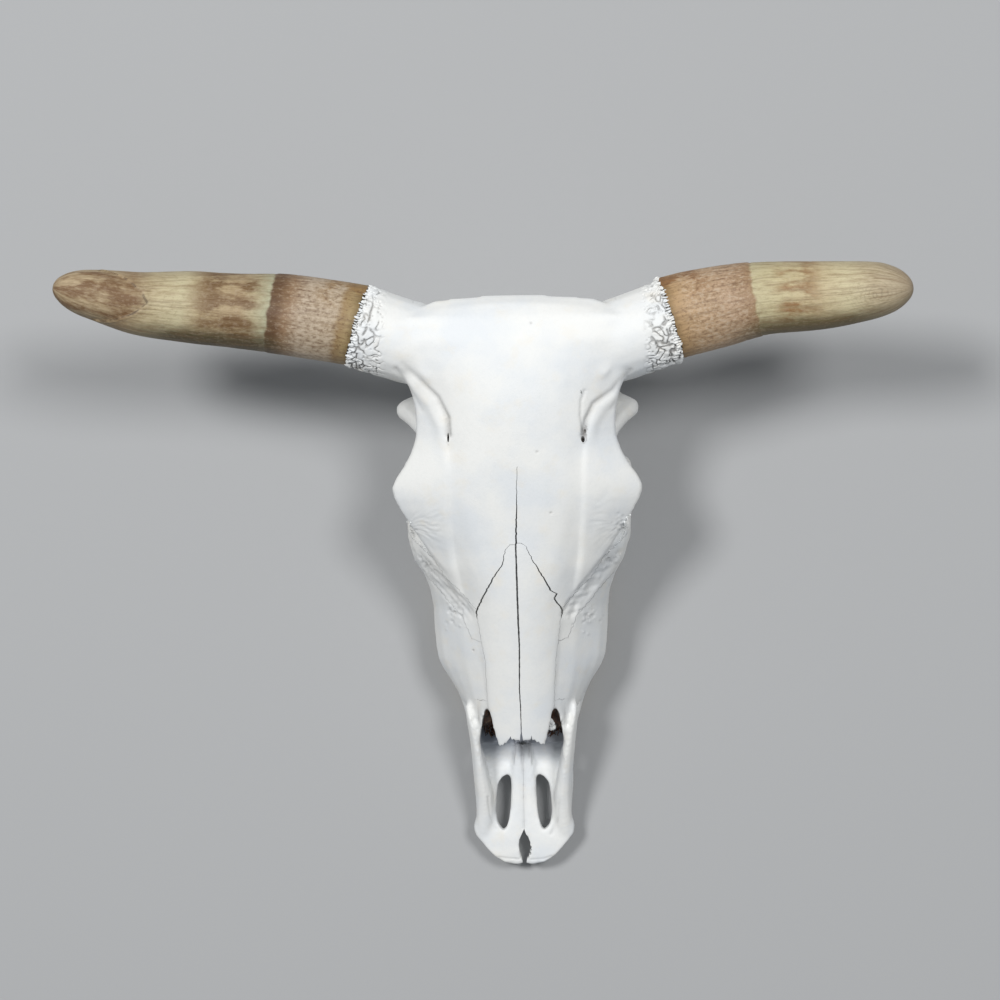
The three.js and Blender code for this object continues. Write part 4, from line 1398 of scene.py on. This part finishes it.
def makeHornFinish(looks, label):
    look = looks[label]
    finish, tree, shader = newFinish(f"horn_{label}")
    grain = readMark(tree, "grainPlace", "Vector")
    along = readMark(tree, "along")
    fibre = noiseAt(tree, resized(tree, grain, (0.03, 0.55, 0.55)), 1.0, 5.0, 0.65)
    cloud = noiseAt(tree, resized(tree, grain, (0.05, 0.09, 0.09)), 1.0, 4.0, 0.6)
    wander = times(tree, sums(tree, "SUBTRACT", cloud, 0.5), 5.0)
    share = sums(tree, "DIVIDE", plus(tree, along, wander), looks["reach"])
    ramp = addNode(tree, "ShaderNodeValToRGB", {0: share})
    stops = ramp.color_ramp.elements
    for i, (distance, colour) in enumerate(look["bands"]):
        stop = stops[i] if i < 2 else stops.new(distance / looks["reach"])
        stop.position = distance / looks["reach"]
        stop.color = colour
    colour = ramp.outputs["Color"]

    # brown blotches that lie along the horn
    low, high = look["blotchLevel"]
    patches = placed(tree, mottleGroup, {
        "Place": resized(tree, grain, (0.42, 1, 1)), "Size": 11.0, "Low": low, "High": high,
    })["Patch"]
    begun = spread(tree, along, *look["blotchFrom"])
    window = times(tree, begun, spread(tree, along, *look["blotchTo"], 1.0, 0.0))
    ragged = spread(tree, fibre, 0.32, 0.55, 0.35, 0.95)
    blotch = times(tree, times(tree, patches, window), ragged)
    colour = blend(tree, blotch, colour, look["blotch"])

    # a darker cap past the fold, olive painted shade along the underside, and a stained patch near
    # the root
    across = addNode(tree, "ShaderNodeSeparateXYZ", {0: grain}).outputs
    capPatch = times(tree, readMark(tree, "cap"), spread(tree, cloud, 0.4, 0.58, 0.95, 0.05))
    colour = blend(tree, capPatch, colour, look["cap"])
    # painted shade: the lower side of the horn darkened to olive over part of its length
    lower = spread(tree, plus(tree, across["Z"], times(tree, cloud, 9.0)), 20.0, 29.0)
    shaded = times(tree, spread(tree, along, 40, 78), spread(tree, along, 150, 185, 1.0, 0.25))
    lower = times(tree, lower, shaded)
    colour = blend(tree, times(tree, lower, 0.95), colour, look["undersideShade"])
    rootTop = times(tree, spread(tree, across["Z"], -6.0, -18.0), spread(tree, along, 40, 24))
    rootTop = times(tree, rootTop, spread(tree, cloud, 0.48, 0.56))
    colour = blend(tree, times(tree, rootTop, 0.75), colour, look["rootPatch"])

    # fibres along the horn, then pale and dark flecks, most of them near the root
    colour = blend(tree, spread(tree, fibre, 0.34, 0.5, 0.42, 0.0), colour, looks["darkFleck"])
    drawn = resized(tree, grain, (0.55, 1, 1))
    speckle = placed(tree, grainGroup, {"Place": drawn, "Size": 0.8, "Pores": 0.6})
    amount, until = look["speckled"]
    near = spread(tree, along, until, until + 14, amount, amount * 0.35)
    away = spread(tree, along, 9, 16)
    pale = times(tree, spread(tree, speckle["Speckle"], 0.62, 0.85), times(tree, near, away))
    dark = times(tree, spread(tree, speckle["Speckle"], 0.3, 0.08), near)
    grime = noiseAt(tree, resized(tree, grain, (0.045, 0.3, 0.3)), 1.0, 5.0, 0.7)
    colour = blend(tree, spread(tree, grime, 0.46, 0.7, 0.0, 0.6), colour, looks["grime"])
    colour = blend(tree, times(tree, pale, 0.55), colour, looks["fleck"])
    colour = blend(tree, times(tree, dark, 0.6), colour, looks["darkFleck"])
    # painted shade along the fold and in the wrinkles
    colour = blend(tree, times(tree, readMark(tree, "creaseShade"), 0.85), colour, looks["creaseShade"])
    tree.links.new(colour, shader.inputs["Base Color"])
    tree.links.new(spread(tree, speckle["Speckle"], 0, 1, 0.46, 0.64), shader.inputs["Roughness"])
    shader.inputs["Specular IOR Level"].default_value = 0.4
    height = plus(tree, times(tree, speckle["Height"], 0.5), times(tree, fibre, 0.9))
    raised(tree, shader, height, looks["bump"], 0.0009)
    return finish


tissueLook = {
    "rust": paint(92, 50, 26),
    "black": paint(34, 22, 16),
    "tan": paint(150, 112, 68),
    "bump": 0.6,
}


def makeTissueFinish(look):
    finish, tree, shader = newFinish("dried_tissue")
    drawn = resized(tree, placeOn(tree), (1, 0.25, 0.4))
    colour = placed(tree, mottleGroup, {
        "Place": drawn, "Size": 2.6, "First": look["black"], "Second": look["rust"],
        "Low": 0.38, "High": 0.55,
    })["Colour"]
    grain = placed(tree, grainGroup, {"Place": drawn, "Size": 0.7, "Pores": 0.5})
    colour = blend(tree, spread(tree, grain["Speckle"], 0.6, 1.0, 0.0, 0.6), colour, look["tan"])
    tree.links.new(colour, shader.inputs["Base Color"])
    tree.links.new(spread(tree, grain["Speckle"], 0, 1, 0.75, 0.5), shader.inputs["Roughness"])
    raised(tree, shader, grain["Height"], look["bump"], 0.0006)
    return finish


finishes = {
    "bone": makeBoneFinish(boneLook),
    "tissue": makeTissueFinish(tissueLook),
    "left": makeHornFinish(hornLooks, "left"),
    "right": makeHornFinish(hornLooks, "right"),
}
print("finishes made")


# Small repeated growths: nodules and dried strands set along lines by Geometry Nodes

def newTree(name, inputs):
    tree = bpy.data.node_groups.new(name, "GeometryNodeTree")
    tree.interface.new_socket(name="Line", in_out="INPUT", socket_type="NodeSocketGeometry")
    for label, kind, value in inputs:
        socket = tree.interface.new_socket(name=label, in_out="INPUT", socket_type=kind)
        socket.default_value = value
    tree.interface.new_socket(name="Made", in_out="OUTPUT", socket_type="NodeSocketGeometry")
    return tree, tree.nodes.new("NodeGroupInput").outputs, tree.nodes.new("NodeGroupOutput").inputs


def randomNumber(tree, low, high, seed):
    inputs = {2: low, 3: high, 8: seed}
    return addNode(tree, "FunctionNodeRandomValue", inputs, {"data_type": "FLOAT"}).outputs[1]


def randomPlace(tree, low, high, seed):
    inputs = {0: low, 1: high, 8: seed}
    return step(tree, "FunctionNodeRandomValue", inputs, {"data_type": "FLOAT_VECTOR"})


def scaledBy(tree, vector, factor):
    inputs = {0: vector, "Scale": factor}
    return step(tree, "ShaderNodeVectorMath", inputs, {"operation": "SCALE"})


def evenPlaces(tree, given):
    # places evenly along the line that the tree is given
    curve = step(tree, "GeometryNodeMeshToCurve", {0: given["Line"]})
    return step(tree, "GeometryNodeResampleCurve", {"Curve": curve, "Count": given["Count"]})


def jostled(tree, geometry, scale, reach):
    # every point pushed a little by a noise of its own place
    wobble = addNode(tree, "ShaderNodeTexNoise", {"Scale": scale, "Detail": 2.0}).outputs["Color"]
    centred = vectors(tree, "SUBTRACT", wobble, (0.5, 0.5, 0.5))
    inputs = {"Geometry": geometry, "Offset": scaledBy(tree, centred, reach)}
    return step(tree, "GeometryNodeSetPosition", inputs)


def makeNoduleTree(finish):
    tree, given, result = newTree("nodules_on_line", [
        ("Count", "NodeSocketInt", 20), ("Size", "NodeSocketFloat", 0.001),
        ("Scatter", "NodeSocketFloat", 0.001), ("Long", "NodeSocketFloat", 1.0),
        ("Lean", "NodeSocketVector", (0, 0, 0)), ("Seed", "NodeSocketInt", 1),
    ])
    seed = given["Seed"]
    stray = scaledBy(tree, randomPlace(tree, (-1, -1, -1), (1, 1, 1), seed), given["Scatter"])
    points = {"Geometry": evenPlaces(tree, given), "Offset": stray}
    points = step(tree, "GeometryNodeSetPosition", points)
    nodule = step(tree, "GeometryNodeMeshIcoSphere", {"Radius": 1.0, "Subdivisions": 3})
    body = step(tree, "ShaderNodeCombineXYZ", {0: 1.0, 1: 1.0, 2: given["Long"]})
    uneven = randomPlace(tree, (0.7, 0.7, 0.75), (1.25, 1.25, 1.3), plus(tree, seed, 5.0))
    tilt = randomPlace(tree, (-0.3, -0.3, -0.3), (0.3, 0.3, 0.3), plus(tree, seed, 9.0))
    size = times(tree, given["Size"], randomNumber(tree, 0.55, 1.2, seed))
    nodules = step(tree, "GeometryNodeInstanceOnPoints", {
        "Points": points, "Instance": nodule,
        "Rotation": vectors(tree, "ADD", given["Lean"], tilt),
        "Scale": scaledBy(tree, vectors(tree, "MULTIPLY", body, uneven), size),
    })
    real = step(tree, "GeometryNodeRealizeInstances", {0: nodules})
    rough = jostled(tree, real, 900.0, times(tree, given["Size"], 0.9))
    dressed = step(tree, "GeometryNodeSetMaterial", {"Geometry": rough, "Material": finish})
    tree.links.new(dressed, result[0])
    return tree


def makeStrandTree(finish):
    tree, given, result = newTree("strands_on_line", [
        ("Count", "NodeSocketInt", 20), ("Length", "NodeSocketFloat", 0.02),
        ("Thick", "NodeSocketFloat", 0.0005),
        ("Hang", "NodeSocketVector", (0, -0.6, -0.8)), ("Seed", "NodeSocketInt", 1),
    ])
    seed = given["Seed"]
    strand = {"Start": (0, 0, 0), "End": given["Hang"]}
    strand = step(tree, "GeometryNodeCurvePrimitiveLine", strand)
    jointed = step(tree, "GeometryNodeResampleCurve", {"Curve": strand, "Count": 9})
    long = times(tree, given["Length"], randomNumber(tree, 0.45, 1.0, seed))
    tilt = randomPlace(tree, (-0.35, -0.35, -0.6), (0.35, 0.35, 0.6), plus(tree, seed, 3.0))
    strands = step(tree, "GeometryNodeInstanceOnPoints", {
        "Points": evenPlaces(tree, given), "Instance": jointed, "Rotation": tilt,
        "Scale": scaledBy(tree, (1, 1, 1), long),
    })
    real = step(tree, "GeometryNodeRealizeInstances", {0: strands})
    bent = jostled(tree, real, 240.0, times(tree, given["Length"], 0.35))
    profile = {"Resolution": 7, "Radius": given["Thick"]}
    profile = step(tree, "GeometryNodeCurvePrimitiveCircle", profile)
    solid = {"Curve": bent, "Profile Curve": profile, "Fill Caps": True}
    solid = step(tree, "GeometryNodeCurveToMesh", solid)
    dressed = step(tree, "GeometryNodeSetMaterial", {"Geometry": solid, "Material": finish})
    tree.links.new(dressed, result[0])
    return tree


def grown(name, line, tree, values, closed=False):
    # a line of points in the skull's frame, dressed by a tree and made a plain mesh
    count = len(line)
    mesh = bpy.data.meshes.new(name)
    edges = [(i, (i + 1) % count) for i in range(count if closed else count - 1)]
    mesh.from_pydata(toFrame(line).tolist(), edges, [])
    piece = newPiece(name, mesh)
    modifier = piece.modifiers.new("growth", "NODES")
    modifier.node_group = tree
    for socket in tree.interface.items_tree:
        if socket.in_out == "INPUT" and socket.name in values:
            modifier[socket.identifier] = values[socket.name]
    return applied(piece)


def surfaceLine(piece, places):
    # places in plan brought down on to a piece, or moved to the midline until they meet it
    search = BVHTree.FromObject(piece, bpy.context.evaluated_depsgraph_get())
    line = []
    for x, y in places:
        hit = None
        while hit is None and abs(x) > 20:
            hit = search.ray_cast(Vector(toFrame((x, y, 260))), Vector((0, 0, -1)))[0]
            x -= math.copysign(0.8, x)
        line.append(toSkull(hit))
    return np.array(line)


noduleTree, strandTree = makeNoduleTree(finishes["bone"]), makeStrandTree(finishes["tissue"])

growths = {
    "orbit": {
        "left": [(97, -13), (95, -20), (92, -25), (89, -30), (86, -36), (82, -44)],
        "right": [(-96, -14), (-94, -20), (-92, -25), (-89, -30), (-85, -35), (-80, -44)],
        "Count": 30, "Size": 0.0008, "Scatter": 0.0015, "Long": 1.1,
    },
    "burr": {
        "Count": 104, "Size": 0.00085, "Scatter": 0.0008, "Long": 2.6,
        "inset": 1.5, "sink": 0.5 / 34,  # in from the sheath's edge, and towards its middle
    },
    "crumbs": {
        "line": [(26.6, -191, 80), (25.2, -194, 79), (27.4, -196, 78), (24.6, -197, 80)],
        "Count": 9, "Size": 0.0021, "Scatter": 0.0016, "Long": 1.2, "Seed": 8,
    },
}
loose = {}
for label, side, seed in (("left", 1, 3), ("right", -1, 4)):
    sizes = growths["orbit"]
    line = surfaceLine(pieces[f"frontal_{label}"], sizes[label])
    name = f"orbit_beads_{label}"
    loose[name] = grown(name, line, noduleTree, {**sizes, "Seed": seed})
    sizes = growths["burr"]
    root = roots[label]
    middle = root.mean(0)
    inward = horns["edgeNormal"] * [side, 1, 1]
    line = root - inward * sizes["inset"] + (middle - root) * sizes["sink"]
    lean = Vector(inward).to_track_quat("Z", "Y").to_euler()
    values = {**sizes, "Lean": tuple(lean), "Seed": seed + 20}
    name = f"burr_fringe_{label}"
    loose[name] = grown(name, line[::4], noduleTree, values, closed=True)
sizes = growths["crumbs"]
loose["nose_crumbs"] = grown("nose_crumbs", sizes["line"], noduleTree, sizes)

# Dried tissue behind the openings of the nose

tissue = {
    "inner": [(-171, 20), (-180, 21), (-190, 20), (-202, 17)],  # y and distance from the midline
    "outer": [(-171, 28), (-180, 30.5), (-190, 33), (-202, 35)],
    "height": [(-171, 84), (-180, 76), (-190, 66), (-202, 50)],
    "start": -171, "long": 25,
    "sag": 5, "thick": 2.2,
    "steps": (40, 30),
    "strands": {"Count": 26, "Length": 0.017, "Thick": 0.0004},
}


def tissueSheet(sizes, side, seed):
    # a sagging ragged sheet from the nasal bone to the wall beside it, closed all round
    long, wide = sizes["steps"]
    dice = np.random.default_rng(seed)
    edge = dice.uniform(0, 1, wide)

    def at(table, y):
        return np.interp(-y, *(np.array(sizes[table]) * [-1, 1]).T)

    upper, lower = [], []
    for i in range(long):
        for j in range(wide):
            s, t = i / (long - 1), j / (wide - 1)
            y = sizes["start"] - s * (sizes["long"] + 7 * edge[j] + 3 * math.sin(j))
            x = (1 - t) * at("inner", y) + t * at("outer", y)
            z = at("height", y) - sizes["sag"] * math.sin(math.pi * t)
            crumple = noise.noise(Vector((x / 3.5, y / 9, seed))) * 2.6
            crumple += noise.noise(Vector((x / 1.4, y / 5, seed + 9)))
            upper.append((side * x, y, z + crumple))
            lower.append((side * x, y, z + crumple - sizes["thick"] * (1 - 0.8 * s)))
    count = long * wide
    faces = []
    for i in range(long - 1):
        for j in range(wide - 1):
            a = i * wide + j
            faces.append((a, a + 1, a + wide + 1, a + wide))
            faces.append((a + count, a + count + wide, a + count + wide + 1, a + count + 1))
    rim = [*range(wide)] + [i * wide + wide - 1 for i in range(1, long)]
    rim += [*range(count - 2, count - wide - 1, -1)] + [i * wide for i in range(long - 2, 0, -1)]
    for a, b in zip(rim, rim[1:] + rim[:1]):
        faces.append((a, a + count, b + count, b))
    lip = np.array(upper[count - wide::2])
    return newPiece("tissue", turnedOut(meshFrom("tissue", np.array(upper + lower), faces))), lip


for label, side, seed in (("left", 1, 5), ("right", -1, 6)):
    sheet, lip = tissueSheet(tissue, side, seed)
    strands = grown("strands", lip, strandTree, {**tissue["strands"], "Seed": seed})
    sheet.data.materials.append(finishes["tissue"])
    loose[f"dried_tissue_{label}"] = joinedPieces(sheet, strands)
counts = {name: len(piece.data.polygons) for name, piece in loose.items()}
print("nodules, strands and tissue made:", counts)


# Every piece gets its finish and its place in the frame

creaseAngle = 50  # edges sharper than this stay sharp

for name, piece in [*pieces.items(), *loose.items()]:
    isHorn = name.startswith("horn")
    kind = name.split("_")[-1] if isHorn else "tissue" if "tissue" in name else "bone"
    piece.name = f"look_{name}"
    mesh = piece.data
    writePoints(mesh, np.clip(readPoints(mesh), *(toSkull(corner) for corner in cadBox)))
    mesh.materials.clear()
    mesh.materials.append(finishes[kind])
    mesh.polygons.foreach_set("material_index", np.zeros(len(mesh.polygons), np.int32))
    mesh.polygons.foreach_set("use_smooth", np.ones(len(mesh.polygons), bool))
    mesh.set_sharp_from_angle(angle=math.radians(creaseAngle))
    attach(piece, "root")
    if name in pieces:
        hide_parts(name)
